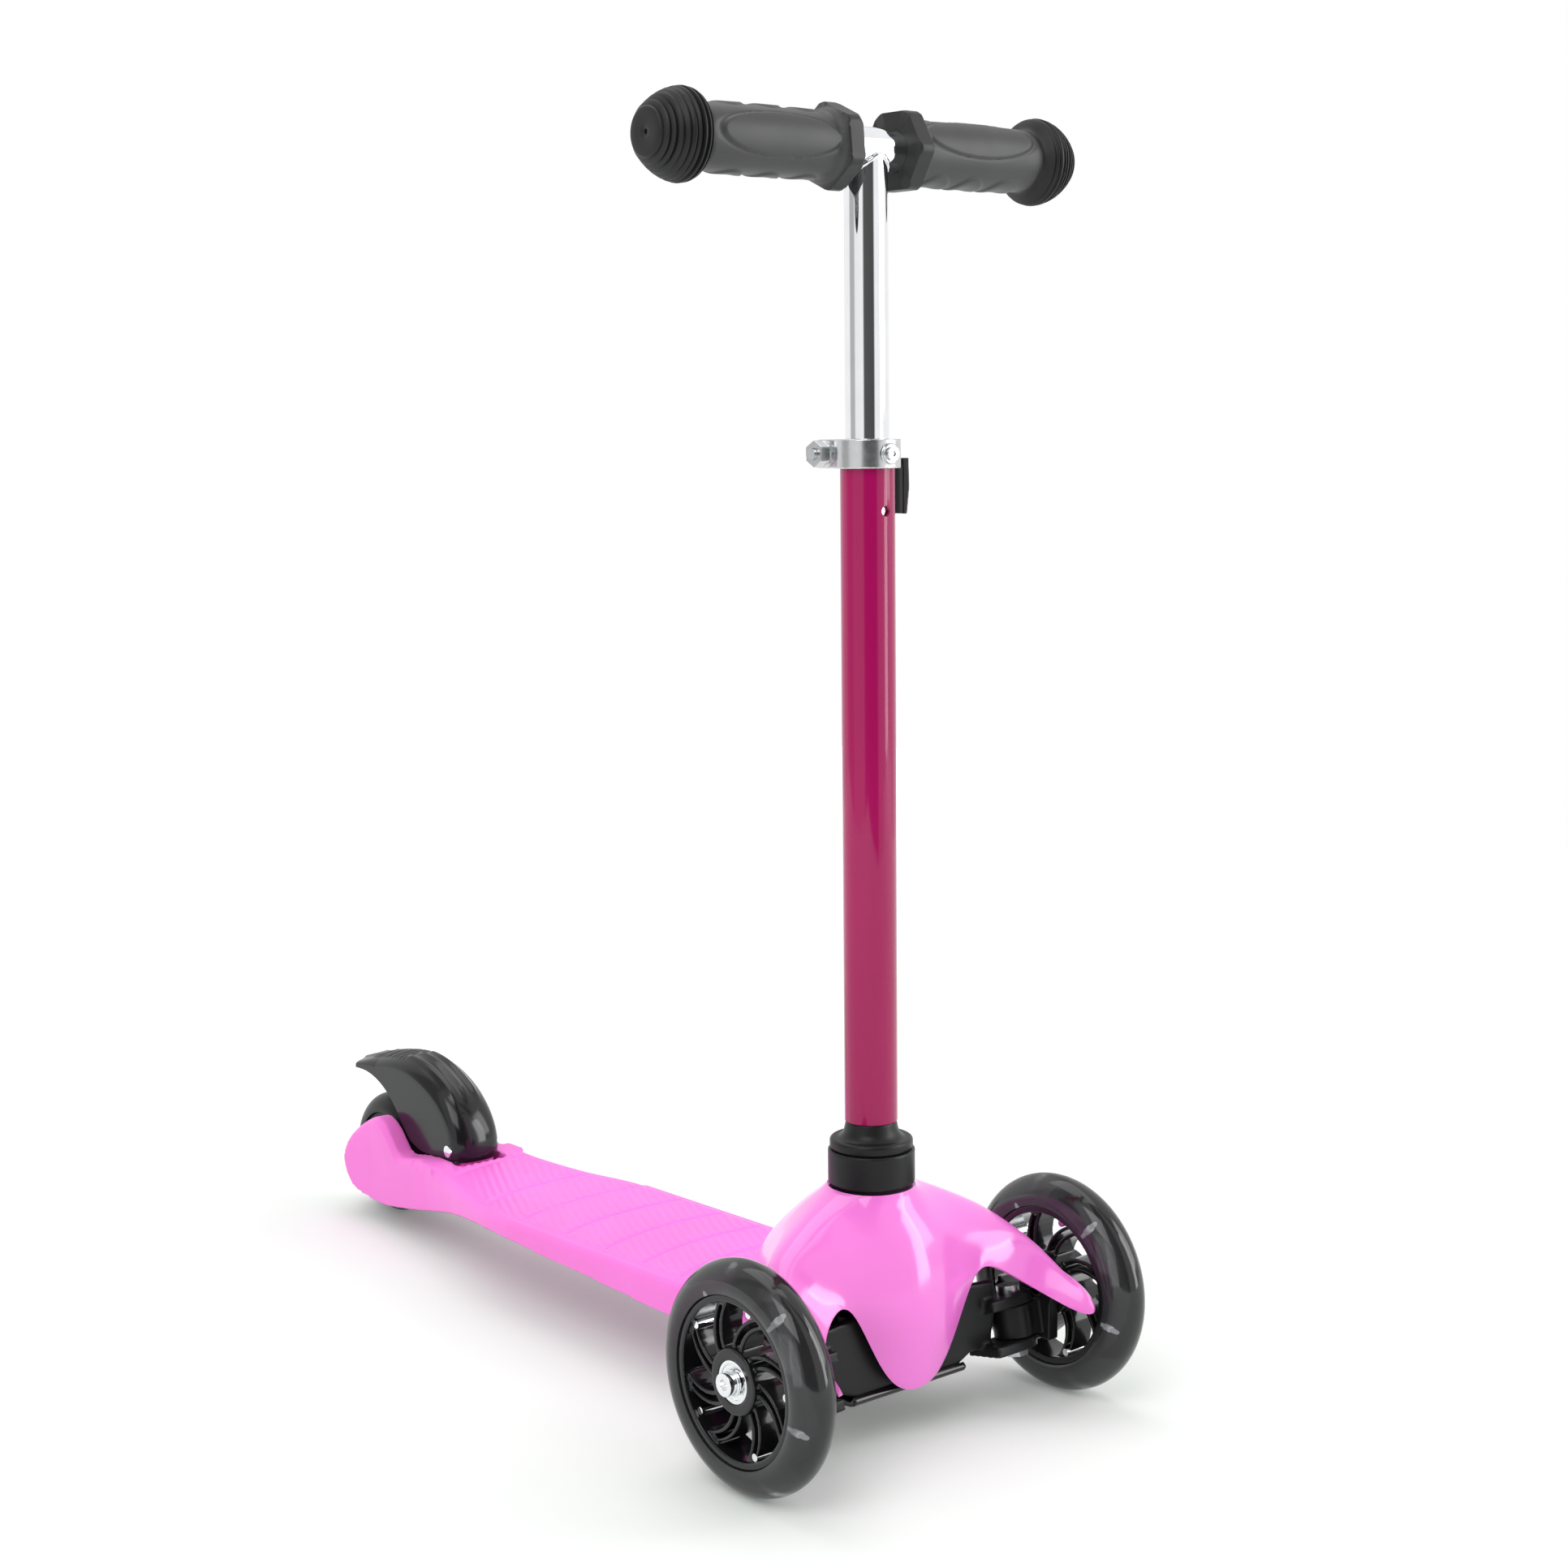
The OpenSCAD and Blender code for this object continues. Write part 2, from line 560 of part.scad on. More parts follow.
module knuckle(side) color("black") difference() {
    union() {
        on_king(side) {
            translate([0, 0, -boss_h / 2]) cylinder(r = jaw_r - 1, h = boss_h);
            translate([side > 0 ? 0 : -15, -9, -boss_h / 2]) cube([15, 18, boss_h]);
            translate([-5, 0, -4]) cube([10, arm_l, 8]);
            translate([0, arm_l, -4]) cylinder(r = 6, h = 8);
        }
        at_origin() intersection() {
            translate([side > 0 ? king_x + jaw_r + 1 : -wheel_x + hub_side + gap, 0, 0]) union() {
                translate([0, 0, front_r]) bar_x(13, 0, wheel_x - hub_side - gap - king_x - jaw_r - 1);
                translate([0, -11, 33]) cube([wheel_x - hub_side - gap - king_x - jaw_r - 1, 24, front_r - 33]);
            }
            block([-200, -60, 0], [200, 60, 200]);
        }
    }
    on_king(side) {
        translate([0, 0, -30]) cylinder(r = king_d / 2 + 2, h = 60);
        translate([0, arm_l, -10]) cylinder(r = 2.5, h = 20);
    }
    at_origin() translate([0, 0, front_r]) bar_x(axle_r, side > 0 ? 60 : -150, side > 0 ? 150 : -60);
}

module knuckle_left() knuckle(1);
module knuckle_right() knuckle(-1);

module king_bush(side) color("ivory") on_king(side) translate([0, 0, -boss_h / 2]) difference() {
    cylinder(r = king_d / 2 + 1.95, h = boss_h);
    translate([0, 0, -1]) cylinder(r = king_d / 2 + run_gap, h = boss_h + 2);
}

module king_bush_left() king_bush(1);
module king_bush_right() king_bush(-1);

module kingpin(side) color("silver") on_king(side) {
    translate([0, 0, -pin_l / 2 - 1]) cylinder(r = king_d / 2, h = pin_l + 2);
    translate([0, 0, pin_l / 2]) cylinder(r = king_d / 2 + 2.5, h = 4);
    translate([0, 0, -pin_l / 2 - 4]) cylinder(r = king_d / 2 + 2.5, h = 4, $fn = 6);
}

module kingpin_left() kingpin(1);
module kingpin_right() kingpin(-1);

// The tie rod lies on the steering arms and has a lug in its middle
module tie_rod() color("silver") at_origin() translate([0, king_y, king_z]) rotate([-rake, 0, 0])
    translate([0, arm_l, 4 + gap]) difference() {
        union() {
            translate([-king_x, -4, 0]) cube([2 * king_x, 8, 4]);
            for (s = [-1, 1]) translate([s * king_x, 0, 0]) cylinder(r = 6, h = 4);
        }
        for (s = [-1, 1]) translate([s * king_x, 0, -1]) cylinder(r = 2.5 + run_gap, h = 6);
    }

module tie_pin(side) color("silver") on_king(side) translate([0, arm_l, 0]) {
    translate([0, 0, -5]) cylinder(r = 2.5, h = 13.6 + gap);
    translate([0, 0, 8 + 2 * gap]) cylinder(r = 4.5, h = 2);
    translate([0, 0, -6]) cylinder(r = 4.5, h = 2);
}

module tie_pin_left() tie_pin(1);
module tie_pin_right() tie_pin(-1);

// Rubber blocks on the chassis walls that the steering arms lean on at full lock
module centring_rubbers() color("black") for (s = [-1, 1]) at_origin()
    block([s * 66.25 - 4.75, 16, 36], [s * 66.25 + 4.75, 24, 46]);

// ---------- wheels ----------

// A tyre of round section, cast on a rim
module tyre_ring(r, w, rim) rotate([0, 90, 0]) rotate_extrude($fn = 96) intersection() {
    translate([r - w / 2, 0]) circle(r = w / 2);
    translate([rim, -w]) square([r, 2 * w]);
}

// Radial places of the lamps
module lamp_places() for (k = [0 : lamps - 1]) rotate([k * 360 / lamps + 36, 0, 0])
    translate([0, 0, rim_d / 2]) children();

module at_wheel(side) at_origin() translate([side * wheel_x, 0, front_r]) children();

module tyre(side) color([0.25, 0.25, 0.27]) at_wheel(side) difference() {
    tyre_ring(front_r, front_w, rim_d / 2);
    lamp_places() translate([0, 0, -1]) cylinder(r = 2.6, h = 9.1);
}

module tyre_left() tyre(1);
module tyre_right() tyre(-1);

module wheel_lamps(side) color("white") at_wheel(side) lamp_places() translate([0, 0, 0.1])
    cylinder(r = 2.5, h = 7.9);

module lamps_left() wheel_lamps(1);
module lamps_right() wheel_lamps(-1);

// Bearing seats from both sides, with a thin web between them
module bearing_seats(w) {
    bar_x(bearing_d / 2, -w, -w / 2 + bearing_w + 0.2);
    bar_x(bearing_d / 2, w / 2 - bearing_w - 0.2, w);
    bar_x(bearing_bore / 2 + 2.5, -w, w);
}

// Angle of a spoke's middle line at radius r
function sweep(r) = 34 * pow((r - hub_r + 1) / (rim_d / 2 - hub_r), 1.3);
function polar(r, a) = [r * cos(a), r * sin(a)];

// One curved spoke as an outline, from the hub to the rim
module spoke_outline(half) {
    n = 8;
    r0 = hub_r - 1;
    r1 = rim_d / 2 - 3;
    radii = [for (k = [0 : n]) r0 + (r1 - r0) * k / n];
    polygon(concat(
        [for (r = radii) polar(r, sweep(r) + half / r * 57.3)],
        [for (k = [n : -1 : 0]) polar(radii[k], sweep(radii[k]) - half / radii[k] * 57.3)]));
}

module core(side) color([0.12, 0.12, 0.12]) at_wheel(side) difference() {
    union() {
        rotate([0, 90, 0]) rotate_extrude() translate([rim_d / 2 - 4, -core_side]) square([4, core_w]);
        bar_x(hub_r, -core_side, core_side);
        for (k = [0 : spokes - 1]) rotate([k * 360 / spokes, 0, 0]) translate([-6, 0, 0])
            rotate([90, 0, 90]) linear_extrude(14) difference() {
                spoke_outline(4.2);
                intersection() {
                    spoke_outline(1.6);
                    circle(r = rim_d / 2 - 6);
                }
            }
    }
    bearing_seats(core_w);
    coil_places() bar_x(2.02, -8, 20);
}

module core_left() core(1);
module core_right() mirror([1, 0, 0]) core(1);

module ball_bearing() difference() {
    bar_x(bearing_d / 2, -bearing_w / 2, bearing_w / 2);
    bar_x(bearing_bore / 2, -bearing_w, bearing_w);
    for (s = [-1, 1]) translate([s * (bearing_w / 2 + 0.3), 0, 0]) difference() {
        bar_x(bearing_d / 2 - 2, -0.8, 0.8);
        bar_x(bearing_bore / 2 + 2, -1, 1);
    }
}

module bearing_pair(w) for (s = [-1, 1]) translate([s * (w / 2 - bearing_w / 2 - 0.2), 0, 0]) ball_bearing();

module spacer_tube(w) difference() {
    bar_x(bearing_bore / 2 + 1.5, -w / 2 + bearing_w + 0.2, w / 2 - bearing_w - 0.2);
    bar_x(bearing_bore / 2 + 0.1, -w, w);
}

module bearings_left() color("silver") at_wheel(1) bearing_pair(core_w);
module bearings_right() color("silver") at_wheel(-1) bearing_pair(core_w);
module spacer_left() color("silver") at_wheel(1) spacer_tube(core_w);
module spacer_right() color("silver") at_wheel(-1) spacer_tube(core_w);

// Coil cores of the lamps' generator, set under the rim between the spokes
module coil_places() for (k = [0 : lamps - 1]) rotate([k * 360 / lamps + 14, 0, 0])
    translate([0, 0, rim_d / 2 - 6.1]) children();

module coils(side) color("silver") at_wheel(side) coil_places() bar_x(2, -8, 8);

module coils_left() coils(1);
module coils_right() coils(-1);

// Axle bolt with a round socket head on the outside, screwed into the knuckle
module axle_bolt(side) color("silver") at_wheel(side) rotate([0, side > 0 ? 0 : 180, 0]) difference() {
    union() {
        bar_x(axle_r, -wheel_x + king_x + jaw_r + 1.5, hub_side + 4);
        bar_x(7, hub_side + gap, hub_side + gap + 1.2);
        bar_x(6, hub_side + gap + 1.2, hub_side + 6);
    }
    translate([hub_side + 3.5, 0, 0]) rotate([0, 90, 0]) cylinder(r = 2.9, h = 5, $fn = 6);
}

module axle_bolt_left() axle_bolt(1);
module axle_bolt_right() axle_bolt(-1);

// ---------- rear wheel ----------

module at_rear() at_origin() translate([0, wheelbase, rear_r]) children();

module rear_tyre() color("black") at_rear() tyre_ring(rear_r, rear_w, rear_rim_d / 2);

module rear_core() color("black") at_rear() difference() {
    union() {
        rotate([0, 90, 0]) rotate_extrude() translate([rear_rim_d / 2 - 3, -core_side]) square([3, core_w]);
        bar_x(bearing_d / 2 + 3, -core_side, core_side);
        for (k = [0 : 5]) rotate([60 * k, 0, 0]) block([-5, -2, bearing_d / 2 + 1], [5, 2, rear_rim_d / 2 - 2]);
    }
    bearing_seats(core_w);
}

module rear_bearings() color("silver") at_rear() bearing_pair(core_w);
module rear_spacer() color("silver") at_rear() spacer_tube(core_w);

module rear_axle() color("silver") at_rear() bar_x(axle_r, -tail_w / 2 + 4.2, tail_w / 2 - 4.2);

// Distance bushes between the wheel and the tail arms
module rear_bushes() color("black") at_rear() for (s = [0, 180]) rotate([0, s, 0]) difference() {
    bar_x(6.5, hub_side + gap, slot_w / 2 - 0.05);
    bar_x(axle_r + run_gap, 0, slot_w);
}

// ---------- mudguard and brake ----------

// Side outline of the mudguard in (Y, Z), from its foot over the wheel to the pedal
module guard_side() {
    e = wheelbase;
    polygon(concat(
        smooth([[e - 100, hinge_z - 7], [e - 100, hinge_z + 3], [e - 92, hinge_z + 11],
            [e - 76, 79], [e - 58, 90], [e - 41, 102], [e - 22, 110], [e - 2, 110],
            [e + 16, 105], [e + 32, 100]], 3),
        smooth([[e + 32, 97], [e + 18, 98], [e, 94], [e - 14, 86], [e - 26, 72],
            [e - 37, 60], [e - 46, hinge_z - 6], [e - 70, hinge_z - 7]], 3)));
}

module guard_hollow() {
    e = wheelbase;
    polygon(concat([[e - 110, 40], [e - 98, hinge_z - 8]],
        smooth([[e - 97, hinge_z + 3], [e - 90, hinge_z + 9.2], [e - 75, 76], [e - 57, 87],
            [e - 40, 99], [e - 22, 106.5], [e - 3, 106.5], [e + 14, 101.5], [e + 40, 94]], 3),
        [[e + 60, 40]]));
}

module mudguard() color("black") at_origin() difference() {
    across(guard_w) guard_side();
    across(guard_w - 7.5) guard_hollow();
    translate([0, hinge_y, hinge_z]) bar_x(hinge_d / 2 + run_gap, -30, 30);
}

// Steel brake pad under the mudguard
module brake_pad() color("silver") at_origin() across(guard_w - 8.5)
    polygon([[wheelbase - 20, 106.3], [wheelbase - 21, 89], [wheelbase - 8, 88], [wheelbase + 4, 91],
        [wheelbase + 4, 103.9], [wheelbase - 3, 106.3]]);

module mudguard_pin() color("silver") at_origin() translate([0, hinge_y, hinge_z]) {
    bar_x(hinge_d / 2, -guard_w / 2 - 0.6, guard_w / 2 + 0.6);
    for (s = [0, 180]) rotate([0, s, 0]) bar_x(hinge_d / 2 + 0.8, -guard_w / 2 - 1.6, -guard_w / 2 - 0.1);
}

// Torsion spring around the pin: five turns and a leg that leans on the mudguard's underside
module mudguard_spring() color("silver") at_origin() translate([0, hinge_y, hinge_z]) {
    for (k = [-2 : 2]) translate([1.3 * k, 0, 0]) rotate([0, 90, 0]) rotate_extrude()
        translate([4.6, 0]) circle(r = 0.7, $fn = 16);
    translate([2.6, 0, 0]) across(1.2) polygon([[0, 4], [8.4, 9.2], [8, 10.2], [0, 5.2]]);
}

deck();
hood();
chassis();
chassis_cover();
socket();
release_button();
frame_screws();
column_plug();
lower_tube();
tube_bush();
clamp_ring();
clamp_skewer();
clamp_nut();
clamp_washer();
clamp_screw();
clamp_lever();
lever_pin();
mast();
mast_foot_ring();
snap_button();
crossbar();
grip_left();
grip_right();
knuckle_left();
knuckle_right();
kingpin_left();
kingpin_right();
king_bush_left();
king_bush_right();
tie_rod();
tie_pin_left();
tie_pin_right();
centring_rubbers();
tyre_left();
tyre_right();
core_left();
core_right();
bearings_left();
bearings_right();
spacer_left();
spacer_right();
lamps_left();
lamps_right();
coils_left();
coils_right();
axle_bolt_left();
axle_bolt_right();
rear_tyre();
rear_core();
rear_bearings();
rear_spacer();
rear_axle();
rear_bushes();
mudguard();
brake_pad();
mudguard_pin();
mudguard_spring();
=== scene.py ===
import json
import math

import bmesh
import bpy
import numpy as np
from mathutils import Matrix, Vector


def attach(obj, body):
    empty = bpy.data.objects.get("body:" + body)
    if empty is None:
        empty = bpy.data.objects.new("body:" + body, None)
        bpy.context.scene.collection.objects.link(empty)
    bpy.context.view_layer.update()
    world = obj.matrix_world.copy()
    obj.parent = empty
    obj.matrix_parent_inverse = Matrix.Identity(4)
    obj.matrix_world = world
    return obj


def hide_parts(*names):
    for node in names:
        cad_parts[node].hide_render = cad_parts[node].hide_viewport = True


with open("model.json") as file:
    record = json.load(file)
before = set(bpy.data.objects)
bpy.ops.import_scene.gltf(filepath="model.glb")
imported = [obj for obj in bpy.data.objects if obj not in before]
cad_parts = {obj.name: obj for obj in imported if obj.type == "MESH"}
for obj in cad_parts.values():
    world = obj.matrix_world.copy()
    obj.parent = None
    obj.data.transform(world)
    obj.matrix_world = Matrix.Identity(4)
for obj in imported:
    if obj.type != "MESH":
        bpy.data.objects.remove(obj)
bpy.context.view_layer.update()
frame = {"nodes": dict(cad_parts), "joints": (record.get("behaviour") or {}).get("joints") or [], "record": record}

# ---- Studio ----
# A pale seamless floor under broad soft lamps, with dark flags at the sides that
# give the chrome its streaks. The camera stands low, ahead of the scooter's right.

mm = 0.001


def aim(obj, target):
    obj.rotation_euler = (Vector(target) - obj.location).to_track_quat("-Z", "Y").to_euler()


def soft_lamp(name, place, target, size, watts):
    lamp = bpy.data.lights.new(name, "AREA")
    lamp.shape = "RECTANGLE"
    lamp.size, lamp.size_y = size
    lamp.energy = watts
    obj = bpy.data.objects.new(name, lamp)
    bpy.context.collection.objects.link(obj)
    obj.location = place
    aim(obj, target)
    return obj


camera = bpy.data.objects.new("camera", bpy.data.cameras.new("camera"))
bpy.context.collection.objects.link(camera)
camera.data.sensor_width = 36
camera.data.lens = 59.585
camera.data.clip_end = 50
view_azimuth = math.radians(-40.12)
view_drop = math.radians(8.60)
camera.matrix_world = Matrix.Translation((-0.88926, -1.19442, 0.54404)) @ (
    Matrix.Rotation(view_azimuth, 4, "Z") @ Matrix.Rotation(math.radians(90) - view_drop, 4, "X"))
bpy.context.scene.camera = camera
bpy.context.scene.view_settings.view_transform = "Standard"

# The floor is small, so that the flags go on below its edge in the chrome
floor_half = 1.8
floor_mesh = bpy.data.meshes.new("floor")
floor_mesh.from_pydata(
    [(-floor_half, -floor_half, 0), (floor_half, -floor_half, 0), (floor_half, floor_half, 0),
     (-floor_half, floor_half, 0)], [], [(0, 1, 2, 3)])
floor = bpy.data.objects.new("floor", floor_mesh)
bpy.context.collection.objects.link(floor)
paper = bpy.data.materials.new("white_paper")
paper.use_nodes = True
paper_tree = paper.node_tree
paper_shader = paper_tree.nodes["Principled BSDF"]
# The paper and its glow are tinted a little green: painted light that takes the pink bounced off the deck out of
# the shadow under it
paper_shader.inputs["Base Color"].default_value = (0.79, 0.805, 0.79, 1)
paper_shader.inputs["Roughness"].default_value = 0.9
paper_shader.inputs["Specular IOR Level"].default_value = 0.1
paper_shader.inputs["Emission Color"].default_value = (0.90, 1, 0.93, 1)
# The paper glows more with distance, so that it runs into the white room
sweep_where = paper_tree.nodes.new("ShaderNodeTexCoord")
sweep_reach = paper_tree.nodes.new("ShaderNodeVectorMath")
sweep_reach.operation = "LENGTH"
sweep_glow = paper_tree.nodes.new("ShaderNodeMapRange")
sweep_glow.inputs["From Min"].default_value = 0.5
sweep_glow.inputs["From Max"].default_value = 2.6
sweep_glow.inputs["To Min"].default_value = 0.14
sweep_glow.inputs["To Max"].default_value = 0.75
paper_tree.links.new(sweep_where.outputs["Object"], sweep_reach.inputs[0])
paper_tree.links.new(sweep_reach.outputs["Value"], sweep_glow.inputs["Value"])
paper_tree.links.new(sweep_glow.outputs["Result"], paper_shader.inputs["Emission Strength"])
floor_mesh.materials.append(paper)

# The room: white all round, with dark flags that only reflections and shading see
world = bpy.data.worlds.new("studio")
world.use_nodes = True
bpy.context.scene.world = world
room = world.node_tree
room.nodes["Background"].inputs["Strength"].default_value = 1.0
room_way = room.nodes.new("ShaderNodeTexCoord")
room_split = room.nodes.new("ShaderNodeSeparateXYZ")
room.links.new(room_way.outputs["Generated"], room_split.inputs[0])
room_turn = room.nodes.new("ShaderNodeMath")
room_turn.operation = "ARCTAN2"
room.links.new(room_split.outputs["Y"], room_turn.inputs[0])
room.links.new(room_split.outputs["X"], room_turn.inputs[1])
room_flags = room.nodes.new("ShaderNodeValToRGB")
room_span = room.nodes.new("ShaderNodeMapRange")
room_span.inputs["From Min"].default_value = -math.pi
room_span.inputs["From Max"].default_value = math.pi
room.links.new(room_turn.outputs[0], room_span.inputs["Value"])
room.links.new(room_span.outputs["Result"], room_flags.inputs["Fac"])
# Round the room, from 0 to 1: where a flag's edge stands, and how light it is there
flag_edges = [(0.00, 0.95), (0.075, 1.0), (0.095, 0.10), (0.235, 0.08), (0.255, 1.0), (0.335, 1.0),
              (0.348, 0.15), (0.368, 0.15), (0.385, 1.0), (0.60, 1.0), (0.64, 0.6), (0.70, 1.0),
              (0.85, 1.0), (0.87, 0.5), (0.94, 0.5), (0.96, 0.95), (1.0, 0.95)]
ramp = room_flags.color_ramp
for place, light in flag_edges[1:-1]:
    ramp.elements.new(place)
for stop, (place, light) in zip(sorted(ramp.elements, key=lambda e: e.position), flag_edges):
    stop.position = place
for stop, (place, light) in zip(ramp.elements, flag_edges):
    stop.color = (light, light, light, 1)
room_white = room.nodes.new("ShaderNodeMixRGB")
room_seen = room.nodes.new("ShaderNodeLightPath")
room_white.inputs["Color2"].default_value = (1, 1, 1, 1)
room.links.new(room_seen.outputs["Is Camera Ray"], room_white.inputs["Fac"])
room.links.new(room_flags.outputs["Color"], room_white.inputs["Color1"])
room.links.new(room_white.outputs["Color"], room.nodes["Background"].inputs["Color"])

soft_lamp("key", (-1.6, -1.0, 2.2), (0, 0, 0.25), (1.6, 1.6), 23)
soft_lamp("fill", (1.9, -1.5, 1.3), (0, 0, 0.25), (0.9, 1.8), 17)
# This one only draws highlights down the tube and the hood
streak = soft_lamp("streak", (1.45, -1.93, 0.9), (0, 0, 0.35), (0.6, 2.0), 24)
streak.visible_diffuse = False
soft_lamp("top", (0.2, 0.6, 2.6), (0, 0, 0.1), (2.0, 2.0), 17)

# ---- Front hood ----
# The bulging nose cover: one thin shell of glossy pink ABS, injection moulded.
# Its rim tucks in under the collar of the socket, and two wings shade the tyres.

joints = {j["name"]: j for j in frame["joints"]}
front_axle = Vector(joints["wheel_left_roll"]["pos_m"])


def bake_modifiers(piece):
    shaped = piece.evaluated_get(bpy.context.evaluated_depsgraph_get())
    mesh = bpy.data.meshes.new_from_object(shaped)
    piece.modifiers.clear()
    piece.data = mesh


def smooth_shade(mesh, crease=40):
    mesh.shade_smooth()
    mesh.set_sharp_from_angle(angle=math.radians(crease))


def fit(piece, body, material, slot, *nodes):
    """Puts the finish on a piece and hangs it on its body."""
    piece.data.materials.clear()
    piece.data.materials.append(material)
    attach(piece, body)
    if nodes:
        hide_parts(*nodes)
    return piece


def moulding(name, colour, rough, grain=900, depth=0.06, coat=0.0, drift=0.04, scuff=0.06,
             mirror=0.5):
    """A moulded plastic: even colour with a faint flow, a fine grain and uneven gloss."""
    material = bpy.data.materials.new(name)
    material.use_nodes = True
    tree = material.node_tree
    shader = tree.nodes["Principled BSDF"]
    shader.inputs["Coat Weight"].default_value = coat
    shader.inputs["Coat Roughness"].default_value = 0.06
    shader.inputs["IOR"].default_value = 1.5
    shader.inputs["Specular IOR Level"].default_value = mirror
    where = tree.nodes.new("ShaderNodeTexCoord")
    flow = tree.nodes.new("ShaderNodeTexNoise")
    flow.inputs["Scale"].default_value = 14
    flow.inputs["Detail"].default_value = 4
    tint = tree.nodes.new("ShaderNodeValToRGB")
    tint.color_ramp.elements[0].position = 0.35
    tint.color_ramp.elements[1].position = 0.65
    tint.color_ramp.elements[0].color = tuple(c * (1 - drift) for c in colour) + (1,)
    tint.color_ramp.elements[1].color = tuple(min(1, c * (1 + drift)) for c in colour) + (1,)
    wear = tree.nodes.new("ShaderNodeTexNoise")
    wear.inputs["Scale"].default_value = 60
    wear.inputs["Detail"].default_value = 5
    gloss = tree.nodes.new("ShaderNodeMapRange")
    gloss.inputs["To Min"].default_value = max(0.02, rough - scuff)
    gloss.inputs["To Max"].default_value = rough + scuff
    pits = tree.nodes.new("ShaderNodeTexNoise")
    pits.inputs["Scale"].default_value = grain
    pits.inputs["Detail"].default_value = 2
    bump = tree.nodes.new("ShaderNodeBump")
    bump.inputs["Strength"].default_value = depth
    bump.inputs["Distance"].default_value = 0.1 * mm
    for texture in (flow, wear, pits):
        tree.links.new(where.outputs["Object"], texture.inputs["Vector"])
    tree.links.new(flow.outputs["Fac"], tint.inputs["Fac"])
    tree.links.new(tint.outputs["Color"], shader.inputs["Base Color"])
    tree.links.new(wear.outputs["Fac"], gloss.inputs["Value"])
    tree.links.new(gloss.outputs["Result"], shader.inputs["Roughness"])
    tree.links.new(pits.outputs["Fac"], bump.inputs["Height"])
    tree.links.new(bump.outputs["Normal"], shader.inputs["Normal"])
    return material


pink_gloss = moulding("pink_hood_gloss", (1.0, 0.215, 0.75), 0.16, grain=350, depth=0.03, coat=0.3)

# Half sections from the rim to the lower edge: across, back from the front axle, height
half_sections = [
    [[0, 8.2, 130.5], [0, -4, 116], [0, -13, 93], [0, -16, 62], [0, -6, 27]],
    [[8, 10, 130.5], [12, -2, 114], [17, -10, 91], [19, -12, 62], [15, -5, 30]],
    [[14.5, 13.5, 130.5], [22, 3, 112], [27, -3, 91], [29, -6, 69], [27, -4, 47]],
    [[18, 17, 130.5], [28, 6, 113], [37, 0, 99], [41, -3, 88], [40, -3, 75]],
    [[20, 20, 130.5], [34, 11, 116], [46, 4, 106], [51, 0, 95], [49, -2, 85]],
    [[21.7, 24, 130.5], [40, 17, 118.5], [55, 10, 107.5], [63, 3, 94], [62, -6, 79]],
    [[22.7, 28, 130.5], [47, 23, 119], [66, 14, 106], [75, 1, 88], [75, -15, 68]],
    [[23, 31, 130.5], [50, 26, 118.5], [73, 15, 105], [82, -8, 86], [84, -33, 60]],
    [[23, 34, 130.5], [52, 29, 117.5], [77, 17, 103], [87, -13, 86], [88, -49, 56]],
    [[22.7, 37, 130.5], [53, 33, 116], [80, 21, 101], [90, -13, 85], [91.5, -46, 67]],
    [[22, 39.5, 130.5], [50, 37, 116], [77, 28, 100], [89.5, 4, 88], [91, -18, 80]],
    [[21, 42, 130.5], [47, 42, 115], [69, 38, 99], [84, 28, 85], [88, 20, 78]],
    [[19.5, 44.5, 130.5], [41, 50, 113], [58, 51, 97], [70, 49, 80], [74, 46, 71]],
    [[17, 48, 130.5], [33, 59, 114], [47, 66, 97], [55, 70, 77], [58, 72, 64]],
    [[12.5, 51.5, 130.5], [22, 66, 117], [35, 81, 98], [44, 92, 76], [49, 96, 62]],
    [[6.5, 54.2, 130.5], [11, 70, 119], [18, 87, 102], [26, 101, 77], [29, 106, 62]],
    [[0, 55, 130.5], [0, 71, 120], [0, 88, 104], [0, 103, 78], [0, 108, 62]]
]
half_net = np.array(half_sections, float)
sections = np.concatenate([half_net, half_net[-2:0:-1] * (-1, 1, 1)])


def finer(net, steps, closed):
    """Sets more points between those of a net, on smooth curves down its first axis."""
    count = len(net)
    pieces = count if closed else count - 1
    out = []
    for i in range(pieces):
        ends = [net[(i + k) % count] if closed else net[min(max(i + k, 0), count - 1)]
                for k in (-1, 0, 1, 2)]
        for k in range(steps):
            u = k / steps
            out.append(0.5 * (2 * ends[1] + (ends[2] - ends[0]) * u
                              + (2 * ends[0] - 5 * ends[1] + 4 * ends[2] - ends[3]) * u * u
                              + (3 * ends[1] - ends[0] - 3 * ends[2] + ends[3]) * u ** 3))
    if not closed:
        out.append(net[-1])
    return np.array(out)


hood_wall = 2.2 * mm
lip_radius = 0.7 * mm
between = 7
hood_net = finer(sections, between, True)
hood_net = finer(hood_net.transpose(1, 0, 2), between, False).transpose(1, 0, 2)
# Each even sweep evens the net out and each odd one swells it back, as a pattern maker
# blends a form. The rows below the rim are also evened round the neck for a while.
blend_sweeps, neck_sweeps = 300, 190
neck = np.interp(np.arange(hood_net.shape[1]), [0, 1, 15, 24, 28], [0, 1, 1, 0.6, 0.25])
for sweep in range(blend_sweeps):
    pace = 0.5 if sweep % 2 == 0 else -0.51
    around = (np.roll(hood_net, 1, 0) + np.roll(hood_net, -1, 0)) / 2 - hood_net
    down = np.zeros_like(hood_net)
    down[:, 1:-1] = (hood_net[:, :-2] + hood_net[:, 2:]) / 2 - hood_net[:, 1:-1]
    move = (around + down) / 2
    move[:, -1] = around[:, -1]
    move[:, 0] = 0
    hood_net = hood_net + pace * move
    if sweep < neck_sweeps:
        hood_net = hood_net + 0.4 * around * neck[None, :, None]
hood_cols, hood_rows = hood_net.shape[:2]
